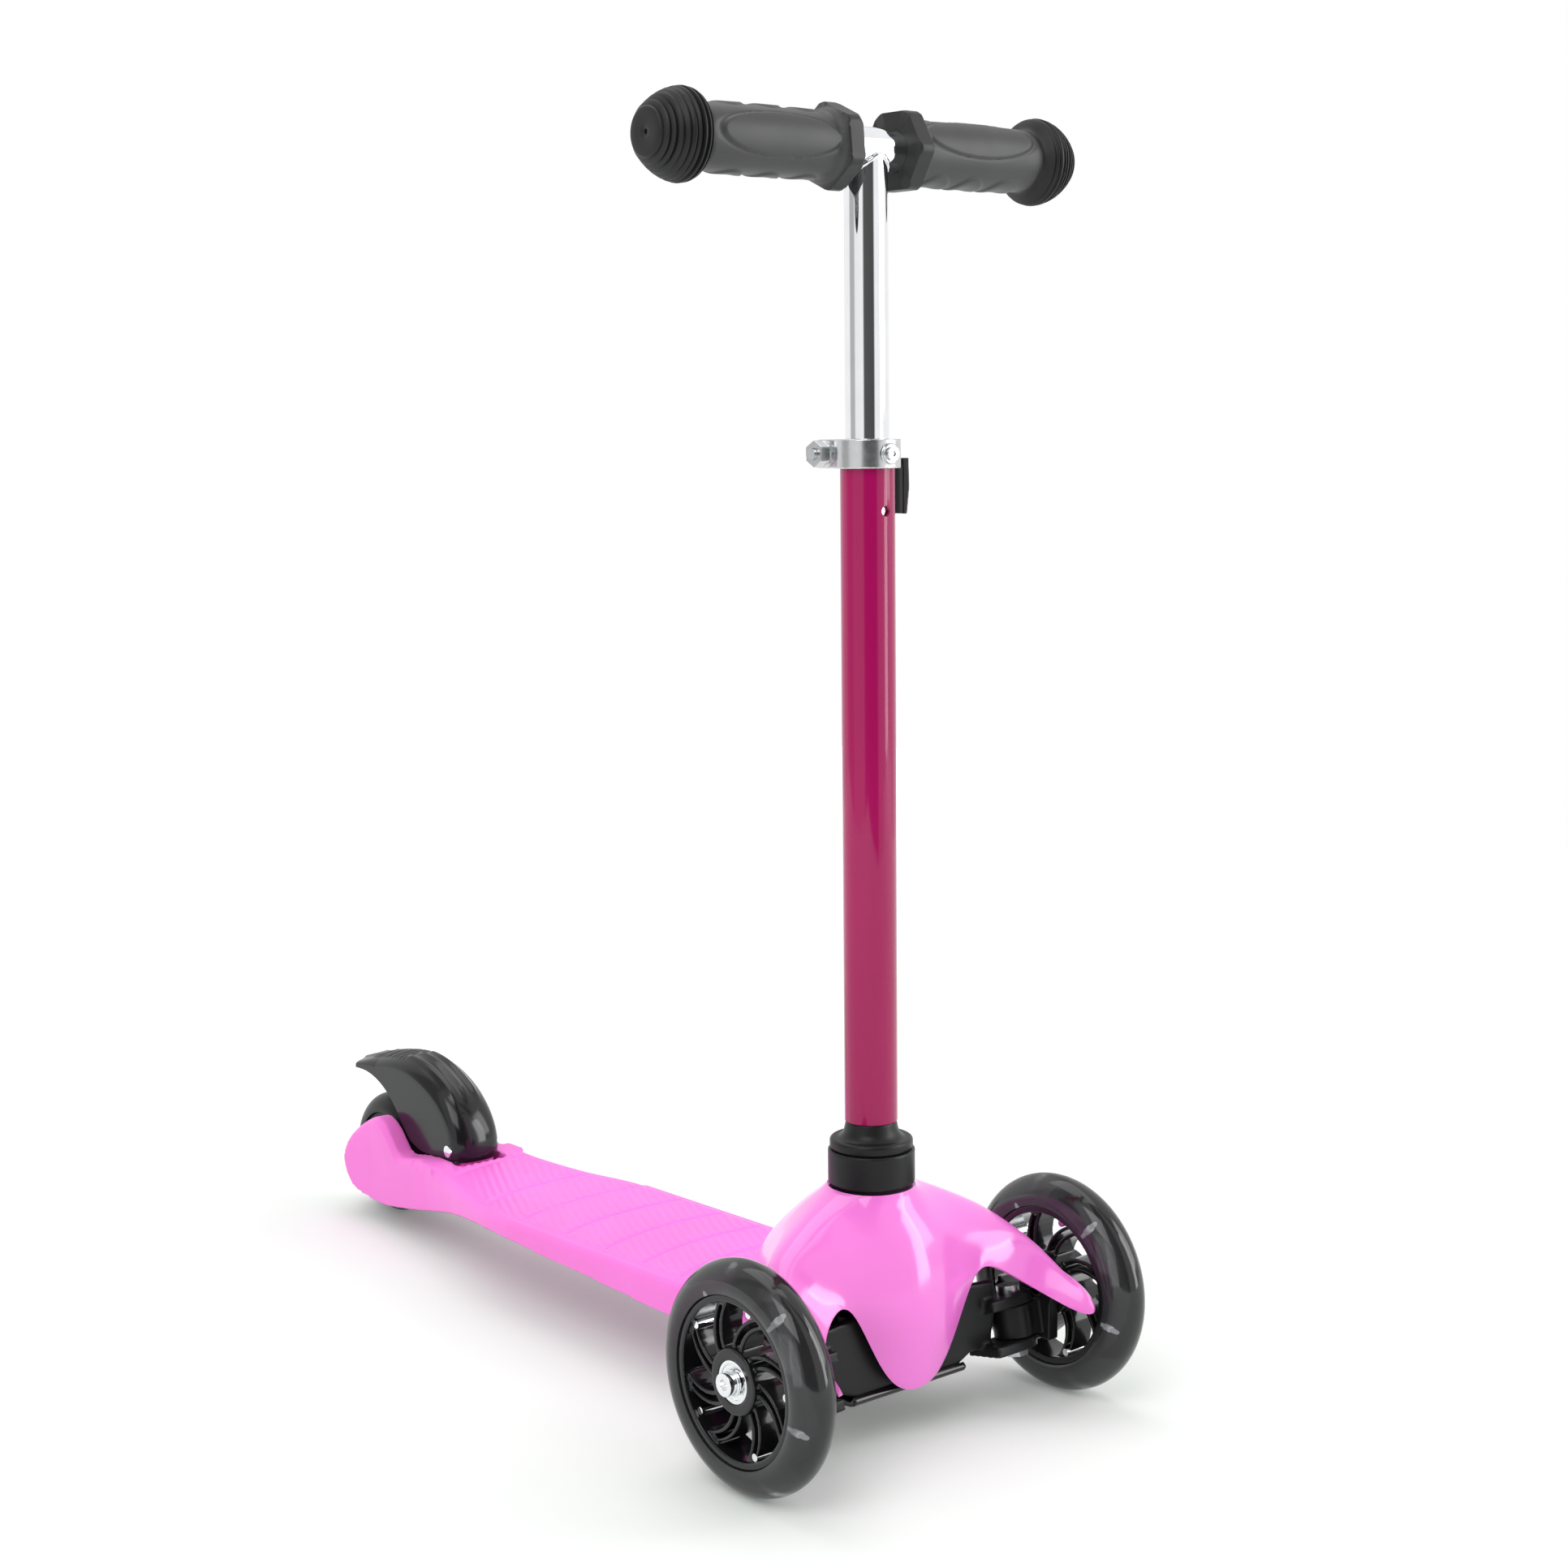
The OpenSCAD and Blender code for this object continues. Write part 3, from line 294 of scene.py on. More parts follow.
hood_mesh = bpy.data.meshes.new("hood_shell")
hood_mesh.from_pydata(
    [(p[0] * mm, p[1] * mm + front_axle.y, p[2] * mm) for p in hood_net.reshape(-1, 3)], [],
    [(c * hood_rows + r, c * hood_rows + r + 1, (c + 1) % hood_cols * hood_rows + r + 1,
      (c + 1) % hood_cols * hood_rows + r) for c in range(hood_cols) for r in range(hood_rows - 1)])
hood = bpy.data.objects.new("hood_shell", hood_mesh)
bpy.context.collection.objects.link(hood)
if hood_mesh.polygons[hood_rows].normal.dot(hood_mesh.polygons[hood_rows].center - front_axle) < 0:
    hood_mesh.flip_normals()
shell = hood.modifiers.new("shell", "SOLIDIFY")
shell.thickness = hood_wall
shell.offset = -1
shell.use_even_offset = True
lip = hood.modifiers.new("rounded lip", "BEVEL")
lip.width = lip_radius
lip.segments = 2
lip.limit_method = "ANGLE"
lip.angle_limit = math.radians(50)
bake_modifiers(hood)
smooth_shade(hood.data, 55)
fit(hood, "frame", pink_gloss, "pink_plastic", "hood")

# ---- Deck ----
# The standing board: a ribbed moulding in satin pink, waisted before the wheel, with
# two round tail arms. Curved drain grooves and slanting grip ribs cross its top.

deck_half = 55 * mm
waist_half = 34 * mm
tail_half = 30 * mm
rear_axle = Vector(joints["wheel_rear_roll"]["pos_m"])
wheelbase = rear_axle.y - front_axle.y
waist_start, waist_run = wheelbase - 215 * mm, 140 * mm
tail_start, tail_run = wheelbase - 75 * mm, 60 * mm
pad_front = 114 * mm
tread_back = wheelbase - 96 * mm
tread_margin = 8 * mm
groove_radius = 150 * mm
groove_side = 14 * mm
groove_tops = [k * mm for k in (150, 184, 220, 259, 301, 346, 398)]
groove_width = 1.1 * mm
groove_depth = 1.2 * mm
rib_slant = math.radians(26)
rib_pitch = 5.2 * mm
rib_height = 0.6 * mm
side_round, tail_round = 6.5 * mm, 5.0 * mm
round_from, tail_from = 60 * mm, wheelbase - 70 * mm
weld_reach = 0.01 * mm
pink_satin = moulding("pink_deck_satin", (1.0, 0.205, 0.73), 0.36, grain=1400, depth=0.10,
                      mirror=0.35)

# The underside, facing down and out of the light, is painted a darker pink: painted shade
underside_shade_tree = pink_satin.node_tree
underside_shade_facing = underside_shade_tree.nodes.new("ShaderNodeNewGeometry")
underside_shade_split = underside_shade_tree.nodes.new("ShaderNodeSeparateXYZ")
underside_shade_amount = underside_shade_tree.nodes.new("ShaderNodeMapRange")
underside_shade_amount.inputs["From Min"].default_value = -0.45
underside_shade_amount.inputs["From Max"].default_value = -0.85
underside_shade_amount.inputs["To Max"].default_value = 0.85
painted_underside_shade = underside_shade_tree.nodes.new("ShaderNodeMixRGB")
painted_underside_shade.inputs["Color2"].default_value = (0.16, 0.055, 0.11, 1)
underside_shade_bsdf = underside_shade_tree.nodes["Principled BSDF"]
underside_unshaded_colour = underside_shade_bsdf.inputs["Base Color"].links[0].from_socket
underside_shade_tree.links.new(underside_shade_facing.outputs["Normal"], underside_shade_split.inputs[0])
underside_shade_tree.links.new(underside_shade_split.outputs["Z"], underside_shade_amount.inputs["Value"])
underside_shade_tree.links.new(underside_shade_amount.outputs["Result"], painted_underside_shade.inputs["Fac"])
underside_shade_tree.links.new(underside_unshaded_colour, painted_underside_shade.inputs["Color1"])
underside_shade_tree.links.new(painted_underside_shade.outputs["Color"], underside_shade_bsdf.inputs["Base Color"])


def weld(mesh):
    bm = bmesh.new()
    bm.from_mesh(mesh)
    bmesh.ops.remove_doubles(bm, verts=bm.verts, dist=weld_reach)
    bmesh.ops.recalc_face_normals(bm, faces=bm.faces)
    bm.to_mesh(mesh)
    bm.free()


def blank_of(node, name):
    """A new piece that starts from the CAD node's own shape."""
    source = frame["nodes"][node]
    vertices = [v.co.copy() for v in source.data.vertices]
    faces = [tuple(p.vertices) for p in source.data.polygons]
    mesh = bpy.data.meshes.new(name)
    mesh.from_pydata(vertices, [], faces)
    piece = bpy.data.objects.new(name, mesh)
    bpy.context.collection.objects.link(piece)
    weld(mesh)
    return piece


def half_width(y):
    """Half the deck's width at distances y behind the front axle."""
    waist = np.clip((y - waist_start) / waist_run, 0, 1)
    tail = np.clip((y - tail_start) / tail_run, 0, 1)
    return (deck_half + (waist_half - deck_half) * (1 - np.cos(math.pi * waist)) / 2
            + (tail_half - waist_half) * tail)


def ramp_between(x, low, high):
    t = np.clip((x - low) / (high - low), 0, 1)
    return t * t * (3 - 2 * t)


def soften(piece, voxel, passes):
    """Gives a piece the small even radius that a mould leaves on every edge."""
    cast = piece.modifiers.new("even skin", "REMESH")
    cast.mode = "VOXEL"
    cast.voxel_size = voxel
    relax = piece.modifiers.new("soft edges", "SMOOTH")
    relax.factor = 0.5
    relax.iterations = passes
    bake_modifiers(piece)
    piece.data.shade_smooth()


def coordinates(mesh):
    flat = np.empty(len(mesh.vertices) * 3, np.float32)
    mesh.vertices.foreach_get("co", flat)
    return flat.reshape(-1, 3).astype(float)


def normals(mesh):
    flat = np.empty(len(mesh.vertices) * 3, np.float32)
    mesh.vertices.foreach_get("normal", flat)
    return flat.reshape(-1, 3).astype(float)


def set_coordinates(mesh, points):
    mesh.vertices.foreach_set("co", points.astype(np.float32).ravel())
    mesh.update()


deck = blank_of("deck", "deck_board")
soften(deck, 1.0 * mm, 3)
points = coordinates(deck.data)
facing = normals(deck.data)
along = points[:, 1] - front_axle.y
side = half_width(along) - np.abs(points[:, 0])
# Height of the top at each station, read off the board itself
stations = np.round(along / mm).astype(int)
crest = np.full(stations.max() + 2, -1.0)
np.maximum.at(crest, stations.clip(0), points[:, 2])
drop = crest[stations.clip(0)] - points[:, 2]
round_edge = np.where(along > tail_from, tail_round, side_round)
corner = (side < round_edge) & (drop < round_edge) & (along > round_from)
reach = np.hypot(round_edge - side, round_edge - drop)
pull = np.where(corner & (reach > round_edge), 1 - round_edge / np.maximum(reach, 1e-9), 0)
points[:, 0] -= np.sign(points[:, 0]) * pull * (round_edge - side)
points[:, 2] -= pull * (round_edge - drop)
# Grooves and ribs of the tread
x, y = points[:, 0], along
inside = (ramp_between(half_width(y) - np.abs(x), tread_margin, tread_margin + 1.5 * mm)
          * ramp_between(y, pad_front, pad_front + 2 * mm)
          * ramp_between(-y, -tread_back, -tread_back + 3 * mm)
          * ramp_between(facing[:, 2], 0.75, 0.9) * (drop < 6 * mm))
gap_to_groove = np.full(len(points), 1.0)
for top in groove_tops:
    away = np.abs(np.hypot(x - groove_side, y - top + groove_radius) - groove_radius)
    gap_to_groove = np.minimum(gap_to_groove, away)
across_rib = x * math.cos(rib_slant) - y * math.sin(rib_slant)
rib = ramp_between(np.cos(2 * math.pi * across_rib / rib_pitch), -0.35, 0.35) * rib_height
lift = rib * ramp_between(gap_to_groove, 2.2 * mm, 3.2 * mm)
cut = (1 - ramp_between(gap_to_groove, groove_width * 0.5, groove_width * 1.5)) * groove_depth
points[:, 2] += inside * (lift - cut)
set_coordinates(deck.data, points)
fit(deck, "frame", pink_satin, "pink_plastic", "deck")

# ---- Chassis and socket ----
# The black skeleton under the hood: glass-filled nylon with the kingpin jaws, a
# tray screwed on from below, and the round socket that takes the column's plug.

black_satin = moulding("black_nylon", (0.010, 0.010, 0.011), 0.38, grain=1100, depth=0.12,
                       mirror=0.25)
black_gloss = moulding("black_gloss_abs", (0.008, 0.008, 0.009), 0.17, grain=400, depth=0.03,
                       coat=0.15, mirror=0.35)
for node, body, voxel, finish in (
        ("chassis", "frame", 1.0, black_satin), ("chassis_cover", "frame", 0.9, black_gloss),
        ("socket", "frame", 0.7, black_satin), ("release_button", "release_button", 0.4, black_satin),
        ("column_plug", "column", 0.7, black_satin)):
    piece = blank_of(node, node + "_moulding")
    soften(piece, voxel * mm, 3)
    fit(piece, body, finish, "black_plastic", node)

# ---- Steering ----
# Two nylon knuckles swing on steel kingpins. A flat steel tie rod joins their arms,
# and rubber blocks centre them when the rider stops leaning.


def bare_metal(name, colour, rough, scale=300, swing=0.08, depth=0.03):
    """A metal whose gloss varies with its fine plating or tumbling marks."""
    material = bpy.data.materials.new(name)
    material.use_nodes = True
    tree = material.node_tree
    shader = tree.nodes["Principled BSDF"]
    shader.inputs["Metallic"].default_value = 1.0
    where = tree.nodes.new("ShaderNodeTexCoord")
    marks = tree.nodes.new("ShaderNodeTexNoise")
    marks.inputs["Scale"].default_value = scale
    marks.inputs["Detail"].default_value = 3
    shine = tree.nodes.new("ShaderNodeMapRange")
    shine.inputs["To Min"].default_value = max(0.01, rough - swing)
    shine.inputs["To Max"].default_value = rough + swing
    tint = tree.nodes.new("ShaderNodeValToRGB")
    tint.color_ramp.elements[0].color = tuple(c * 0.92 for c in colour) + (1,)
    tint.color_ramp.elements[1].color = tuple(min(1, c * 1.04) for c in colour) + (1,)
    bump = tree.nodes.new("ShaderNodeBump")
    bump.inputs["Strength"].default_value = depth
    bump.inputs["Distance"].default_value = 0.05 * mm
    tree.links.new(where.outputs["Object"], marks.inputs["Vector"])
    tree.links.new(marks.outputs["Fac"], shine.inputs["Value"])
    tree.links.new(shine.outputs["Result"], shader.inputs["Roughness"])
    tree.links.new(marks.outputs["Fac"], tint.inputs["Fac"])
    tree.links.new(tint.outputs["Color"], shader.inputs["Base Color"])
    tree.links.new(marks.outputs["Fac"], bump.inputs["Height"])
    tree.links.new(bump.outputs["Normal"], shader.inputs["Normal"])
    return material


def finish_node(material, *nodes):
    """Gives CAD nodes that stay as they are their material."""
    for node in nodes:
        mesh = frame["nodes"][node].data
        mesh.materials.clear()
        mesh.materials.append(material)


zinc_steel = bare_metal("zinc_plated_steel", (0.62, 0.63, 0.66), 0.30)
chrome = bare_metal("chrome_plate", (0.86, 0.87, 0.89), 0.05, swing=0.02, scale=90, depth=0.0)
nylon = moulding("natural_nylon", (0.80, 0.79, 0.74), 0.42)
rubber = moulding("black_rubber", (0.02, 0.02, 0.02), 0.7, grain=1600, depth=0.25)
for side in ("left", "right"):
    knuckle = blank_of("knuckle_" + side, "knuckle_moulding_" + side)
    soften(knuckle, 0.6 * mm, 3)
    fit(knuckle, "knuckle_" + side, black_satin, "black_plastic", "knuckle_" + side)
    finish_node(zinc_steel, "kingpin_" + side, "tie_pin_" + side)
    finish_node(nylon, "king_bush_" + side)
finish_node(zinc_steel, "tie_rod", "frame_screws")
finish_node(rubber, "centring_rubbers")

# ---- Lower tube ----
# A drawn steel tube in deep magenta enamel, with the snap button's hole near its
# mouth. Its foot is pressed over the plug's neck, and its mouth holds a nylon bush.

band = next(m for m in frame["record"]["mounts"] if m["name"] == "mast_band")
column_axis = Vector(band["axis"]).normalized()
band_height = 0.590
column_foot = Vector(band["pos_m"]) - column_axis * band_height
column_front = Vector((0, -column_axis.z, column_axis.y))
column_left = Vector((1, 0, 0))


def rounded(outline, reach=0.5, steps=3):
    """The outline with each corner off the axis turned into a small arc."""
    out = []
    count = len(outline)
    for i, corner in enumerate(outline):
        p = Vector(corner)
        if p.y < 0.01:
            out.append(tuple(p))
            continue
        a, b = Vector(outline[i - 1]) - p, Vector(outline[(i + 1) % count]) - p
        start = p + a * min(reach / max(a.length, 1e-6), 0.45)
        end = p + b * min(reach / max(b.length, 1e-6), 0.45)
        for k in range(steps + 1):
            t = k / steps
            out.append(tuple(start * (1 - t) ** 2 + p * 2 * t * (1 - t) + end * t ** 2))
    return out


def turn(name, outline, origin, axis, up, segments=96, shape=None):
    """A turned piece: outline is a closed loop of (along the axis, radius) in mm."""
    axis, up = Vector(axis).normalized(), Vector(up).normalized()
    other = axis.cross(up)
    bm = bmesh.new()
    rings = []
    for t, r in outline:
        ring = []
        for k in range(segments):
            a = 2 * math.pi * k / segments
            radius = (shape(t, r, a) if shape else r) * mm
            way = up * math.cos(a) + other * math.sin(a)
            ring.append(bm.verts.new(Vector(origin) + axis * (t * mm) + way * radius))
        rings.append(ring)
    for i in range(len(rings)):
        near, far = rings[i], rings[(i + 1) % len(rings)]
        for k in range(segments):
            n = (k + 1) % segments
            bm.faces.new((near[k], near[n], far[n], far[k]))
    bmesh.ops.remove_doubles(bm, verts=bm.verts, dist=0.002 * mm)
    bmesh.ops.recalc_face_normals(bm, faces=bm.faces)
    mesh = bpy.data.meshes.new(name)
    bm.to_mesh(mesh)
    bm.free()
    piece = bpy.data.objects.new(name, mesh)
    bpy.context.collection.objects.link(piece)
    smooth_shade(mesh, 32)
    return piece


enamel = moulding("magenta_enamel", (0.37, 0.003, 0.095), 0.26, grain=260, depth=0.02, coat=0.55,
                  drift=0.03, scuff=0.03, mirror=0.1)
# Heights up the column and radii, in mm
tube_bottom, tube_top = 165.0, 518.3
tube_bore, tube_radius = 12.2, 14
snap_height, snap_radius = 484, 2.7
tube = turn("lower_tube_enamelled", rounded(
    [(tube_bottom, tube_bore), (tube_bottom, tube_radius), (tube_top, tube_radius),
     (tube_top, tube_bore)], 0.5),
    column_foot, column_axis, column_front, 128)
drill = turn("drill", [(9, 0), (9, snap_radius), (16, snap_radius), (16, 0)],
             column_foot + column_axis * snap_height * mm, column_front, column_left, 48)
hole = tube.modifiers.new("snap hole", "BOOLEAN")
hole.operation = "DIFFERENCE"
hole.solver = "EXACT"
hole.object = drill
bake_modifiers(tube)
bpy.data.objects.remove(drill)
smooth_shade(tube.data, 32)
fit(tube, "column", enamel, "magenta_paint", "lower_tube")
finish_node(nylon, "tube_bush", "mast_foot_ring")
finish_node(chrome, "snap_button")

# ---- Seat clamp ----
# A cast aluminium collar, tumbled to a satin. A steel skewer with a hexagon nut draws
# its ears together, and a glossy black leaf-shaped lever works the cam.

satin_alloy = bare_metal("tumbled_aluminium", (0.60, 0.61, 0.62), 0.25, swing=0.07, scale=220,
                         depth=0.08)
for node, body, voxel, passes, finish, slot in (
        ("clamp_ring", "column", 0.4, 2, satin_alloy, "alloy"),
        ("clamp_nut", "column", 0.3, 1, satin_alloy, "steel"),
        ("clamp_washer", "column", 0.25, 1, black_satin, "black_plastic"),
        ("clamp_lever", "clamp_lever", 0.35, 3, black_gloss, "gloss_black")):
    piece = blank_of(node, node + "_finished")
    soften(piece, voxel * mm, passes)
    fit(piece, body, finish, slot, node)
finish_node(zinc_steel, "clamp_skewer", "clamp_screw", "lever_pin")

# ---- Upper tube and crossbar ----
# Two chromed steel tubes make the T of the handlebar. The mast's end is welded into
# the crossbar, and the round bead of the weld is plated with them.

bar_z = 664.0
bar_bore, bar_radius, bar_half = 9.4, 11, 134.5
mast_foot, mast_top = 469.5, bar_z - 3
mast_bore, mast_radius = 9.6, 11.1
mast = turn("mast_chromed", rounded(
    [(mast_foot, mast_bore), (mast_foot, mast_radius), (mast_top, mast_radius),
     (mast_top, mast_bore)], 0.4),
    column_foot, column_axis, column_front, 128)
fit(mast, "bar", chrome, "chrome", "mast")
bar_middle = column_foot + column_axis * bar_z * mm
crossbar = turn("crossbar_chromed", rounded(
    [(-bar_half, bar_bore), (-bar_half, bar_radius), (bar_half, bar_radius),
     (bar_half, bar_bore)], 0.4),
    bar_middle, column_left, column_axis, 96)
fit(crossbar, "bar", chrome, "chrome", "crossbar")

# The bead runs round the mast where it meets the crossbar's underside
bead_steps, bead_sides = 96, 10
bead_radius, bead_ripple, ripples = 1.25, 0.08, 26
saddle_reach, bead_sink = 10.6, 0.4
bead = bmesh.new()
bead_rings = []
for k in range(bead_steps):
    a = 2 * math.pi * k / bead_steps
    out = (column_left * math.cos(a) + column_front * math.sin(a))
    centre = out * mast_radius
    height = -math.sqrt(max(0.0, bar_radius ** 2 - (saddle_reach * math.sin(a)) ** 2)) - bead_sink
    swell = bead_radius + bead_ripple * math.sin(ripples * a)
    ring = []
    for side in range(bead_sides):
        b = 2 * math.pi * side / bead_sides
        spot = centre + out * (swell * math.cos(b)) + column_axis * (height + swell * math.sin(b))
        ring.append(bead.verts.new(bar_middle + spot * mm))
    bead_rings.append(ring)
for k in range(bead_steps):
    near, far = bead_rings[k], bead_rings[(k + 1) % bead_steps]
    for side in range(bead_sides):
        n = (side + 1) % bead_sides
        bead.faces.new((near[side], near[n], far[n], far[side]))
bmesh.ops.recalc_face_normals(bead, faces=bead.faces)
bead_mesh = bpy.data.meshes.new("weld_bead")
bead.to_mesh(bead_mesh)
bead.free()
bead_mesh.shade_smooth()
weld_bead = bpy.data.objects.new("weld_bead", bead_mesh)
bpy.context.collection.objects.link(weld_bead)
fit(weld_bead, "bar", chrome, "chrome")

# ---- Grips ----
# Soft dark rubber sleeves, moulded in one piece: a hexagonal inner flange, an oval
# thumb pad, finger scallops below and above, and a ribbed mushroom end.

grip_start = 18.0
grip_length = 120.5
body_radius, body_end = 16.0, 92
flange_end, flange_radius, flange_flat, flange_corner = 9.5, 22.0, 19.4, 21.6
bumper_start, bumper_radius = 100.0, 22.6
pad_turn, pad_reach = math.radians(58), math.radians(40)
pad_middle, pad_half = 49.0, 38.0
scallop_places = (24.0, 47.5, 71.0)
scallop_half = 10.6
scallop_sides = ((182, 50), (-42, 42))
rib_first, rib_gap, rib_depth = 96.6, 2.8, 2.0
rib_zone = (96.5, 118.6)
grip_rubber = moulding("grip_rubber", (0.058, 0.058, 0.059), 0.46, grain=1500, depth=0.15,
                       drift=0.06, scuff=0.08, mirror=0.32)
# The flange and the ribbed bumper are darker than the soft body; on the bumper the darkening is painted shade of
# its grooves
ends_tree = grip_rubber.node_tree
ends_where = ends_tree.nodes.new("ShaderNodeTexCoord")
ends_split = ends_tree.nodes.new("ShaderNodeSeparateXYZ")
ends_reach = ends_tree.nodes.new("ShaderNodeMath")
ends_reach.operation = "ABSOLUTE"
ends_band = ends_tree.nodes.new("ShaderNodeValToRGB")
ends_scale = ends_tree.nodes.new("ShaderNodeMapRange")
ends_scale.inputs["From Max"].default_value = (grip_start + grip_length) * mm
# Distance from the middle of the bar, and the share of the body's lightness there
for reach, share in ((27, 0.35), (28.5, 1.0), (107, 1.0), (109.5, 0.20)):
    stop = ends_band.color_ramp.elements.new(reach / (grip_start + grip_length))
    stop.color = (share, share, share, 1)
ends_band.color_ramp.elements[0].color = (0.35, 0.35, 0.35, 1)
ends_band.color_ramp.elements[-1].color = (0.20, 0.20, 0.20, 1)
ends_mix = ends_tree.nodes.new("ShaderNodeMixRGB")
ends_mix.blend_type = "MULTIPLY"
ends_mix.inputs["Fac"].default_value = 1
ends_base = ends_tree.nodes["Principled BSDF"].inputs["Base Color"]
ends_tint = ends_base.links[0].from_socket
ends_tree.links.new(ends_where.outputs["Object"], ends_split.inputs[0])
ends_tree.links.new(ends_split.outputs["X"], ends_reach.inputs[0])
ends_tree.links.new(ends_reach.outputs[0], ends_scale.inputs["Value"])
ends_tree.links.new(ends_scale.outputs["Result"], ends_band.inputs["Fac"])
ends_tree.links.new(ends_tint, ends_mix.inputs["Color1"])
ends_tree.links.new(ends_band.outputs["Color"], ends_mix.inputs["Color2"])
ends_tree.links.new(ends_mix.outputs["Color"], ends_base)


def step_up(x, low, high):
    t = min(max((x - low) / (high - low), 0), 1)
    return t * t * (3 - 2 * t)


def turn_from(a, middle):
    return (a - middle + math.pi) % (2 * math.pi) - math.pi


def grip_shape(t, r, a):
    """Radius of the sleeve at t along it and a round it, 0 at the top and 90 in front."""
    if r < body_radius - 0.6 or t >= body_end:
        if rib_zone[0] < t < rib_zone[1] and r > 13.4:
            phase = ((t - rib_first) / rib_gap) % 1
            return r - rib_depth * step_up(abs(phase - 0.5), 0.20, 0.36)
        return r
    if t <= flange_end:
        sector = (a + math.pi / 6) % (math.pi / 3) - math.pi / 6
        return min(r, flange_flat / math.cos(sector), flange_corner)
    d = math.hypot((t - pad_middle) / pad_half, turn_from(a, pad_turn) / pad_reach)
    r += 0.9 * step_up(-d, -1.0, -0.93) - 0.45 * math.exp(-((d - 1.03) / 0.035) ** 2)
    for middle in scallop_places:
        for way, spread in scallop_sides:
            near = turn_from(a, math.radians(way)) / math.radians(spread)
            d = math.hypot((t - middle) / scallop_half, near)
            r += 0.85 * step_up(-d, -1.0, -0.86) * (1 - 0.5 * step_up(-d, -0.7, -0.2))
    return r


def sleeve_radius(t):
    """The sleeve's plain outline."""
    if t < flange_end:
        return flange_radius - 1.2 * step_up(-t, -1.6, 0) - 1.2 * step_up(t, 8.4, flange_end)
    if t < body_end:
        return (body_radius + 2.8 * step_up(-t, -13.5, -flange_end)
                + 0.5 * math.sin(math.pi * (t - 10) / 82))
    if t < 97:
        return body_radius + 6.0 * step_up(t, body_end, 97)
    if t <= bumper_start:
        return 22.0 + 0.6 * (t - 97) / 3
    return bumper_radius - 10.2 * ((t - bumper_start) / 20.0) ** 1.8


grip_steps = [0, 0.4, 1, 2] + [3 + 0.75 * k for k in range(int((grip_length - 4) / 0.75))]
grip_outline = ([(0, 11.05)] + [(t, sleeve_radius(t)) for t in grip_steps if t < 119.5]
                + [(119.7, 12.2), (120.3, 11.4), (120.5, 10.6), (120.5, 7), (120.3, 4), (120.2, 1.6),
                   (119.7, 1.2), (118.0, 1.1), (117.0, 0.0), (115.5, 0.0), (115.5, 11.05)])
for side, way, twist in (("left", 1, 0), ("right", -1, 24)):
    turned_shape = (lambda t, r, a, way=way, twist=twist:
                    grip_shape(t, r, a * way - math.radians(twist)))
    inner_end = bar_middle + column_left * way * grip_start * mm
    grip = turn("grip_sleeve_" + side, grip_outline, inner_end, column_left * way, column_axis, 144,
                turned_shape)
    grip.data.shade_smooth()
    grip.data.set_sharp_from_angle(angle=math.radians(65))
    fit(grip, "bar", grip_rubber, "grip_rubber", "grip_" + side)

# ---- Front wheels ----
# A clear smoke-tinted polyurethane tyre is cast on a glossy black spoked core. Five
# lamps sit in the tyre, and their coils show as bright pins between the spokes.

smoke = bpy.data.materials.new("smoke_polyurethane")
smoke.use_nodes = True
smoke_tree = smoke.node_tree
smoke_shader = smoke_tree.nodes["Principled BSDF"]
smoke_shader.inputs["Transmission Weight"].default_value = 0.6
smoke_shader.inputs["Specular IOR Level"].default_value = 0.4
smoke_shader.inputs["IOR"].default_value = 1.48
smoke_where = smoke_tree.nodes.new("ShaderNodeTexCoord")
smoke_cloud = smoke_tree.nodes.new("ShaderNodeTexNoise")
smoke_cloud.inputs["Scale"].default_value = 38
smoke_cloud.inputs["Detail"].default_value = 4
smoke_tint = smoke_tree.nodes.new("ShaderNodeValToRGB")
smoke_tint.color_ramp.elements[0].color = (0.030, 0.030, 0.032, 1)
smoke_tint.color_ramp.elements[1].color = (0.062, 0.062, 0.066, 1)
smoke_gloss = smoke_tree.nodes.new("ShaderNodeMapRange")
smoke_gloss.inputs["To Min"].default_value = 0.04
smoke_gloss.inputs["To Max"].default_value = 0.14
smoke_tree.links.new(smoke_where.outputs["Object"], smoke_cloud.inputs["Vector"])
smoke_tree.links.new(smoke_cloud.outputs["Fac"], smoke_tint.inputs["Fac"])
smoke_tree.links.new(smoke_tint.outputs["Color"], smoke_shader.inputs["Base Color"])
smoke_tree.links.new(smoke_cloud.outputs["Fac"], smoke_gloss.inputs["Value"])
smoke_tree.links.new(smoke_gloss.outputs["Result"], smoke_shader.inputs["Roughness"])

lamp_glass = moulding("lamp_capsule", (0.85, 0.88, 0.92), 0.12, grain=500, depth=0.02)
lamp_glass.node_tree.nodes["Principled BSDF"].inputs["Emission Color"].default_value = (1, 1, 1, 1)
lamp_glass.node_tree.nodes["Principled BSDF"].inputs["Emission Strength"].default_value = 1.6


def round_tread(outer, width, rim, steps=28):
    """A tyre's closed outline: a round tread on a flat rim seat."""
    half = width / 2
    middle = outer - half
    stop = math.acos((rim - middle) / half) if rim > middle - half else math.pi
    return [(half * math.sin(a), middle + half * math.cos(a))
            for a in (stop * (2 * k / steps - 1) for k in range(steps + 1))]


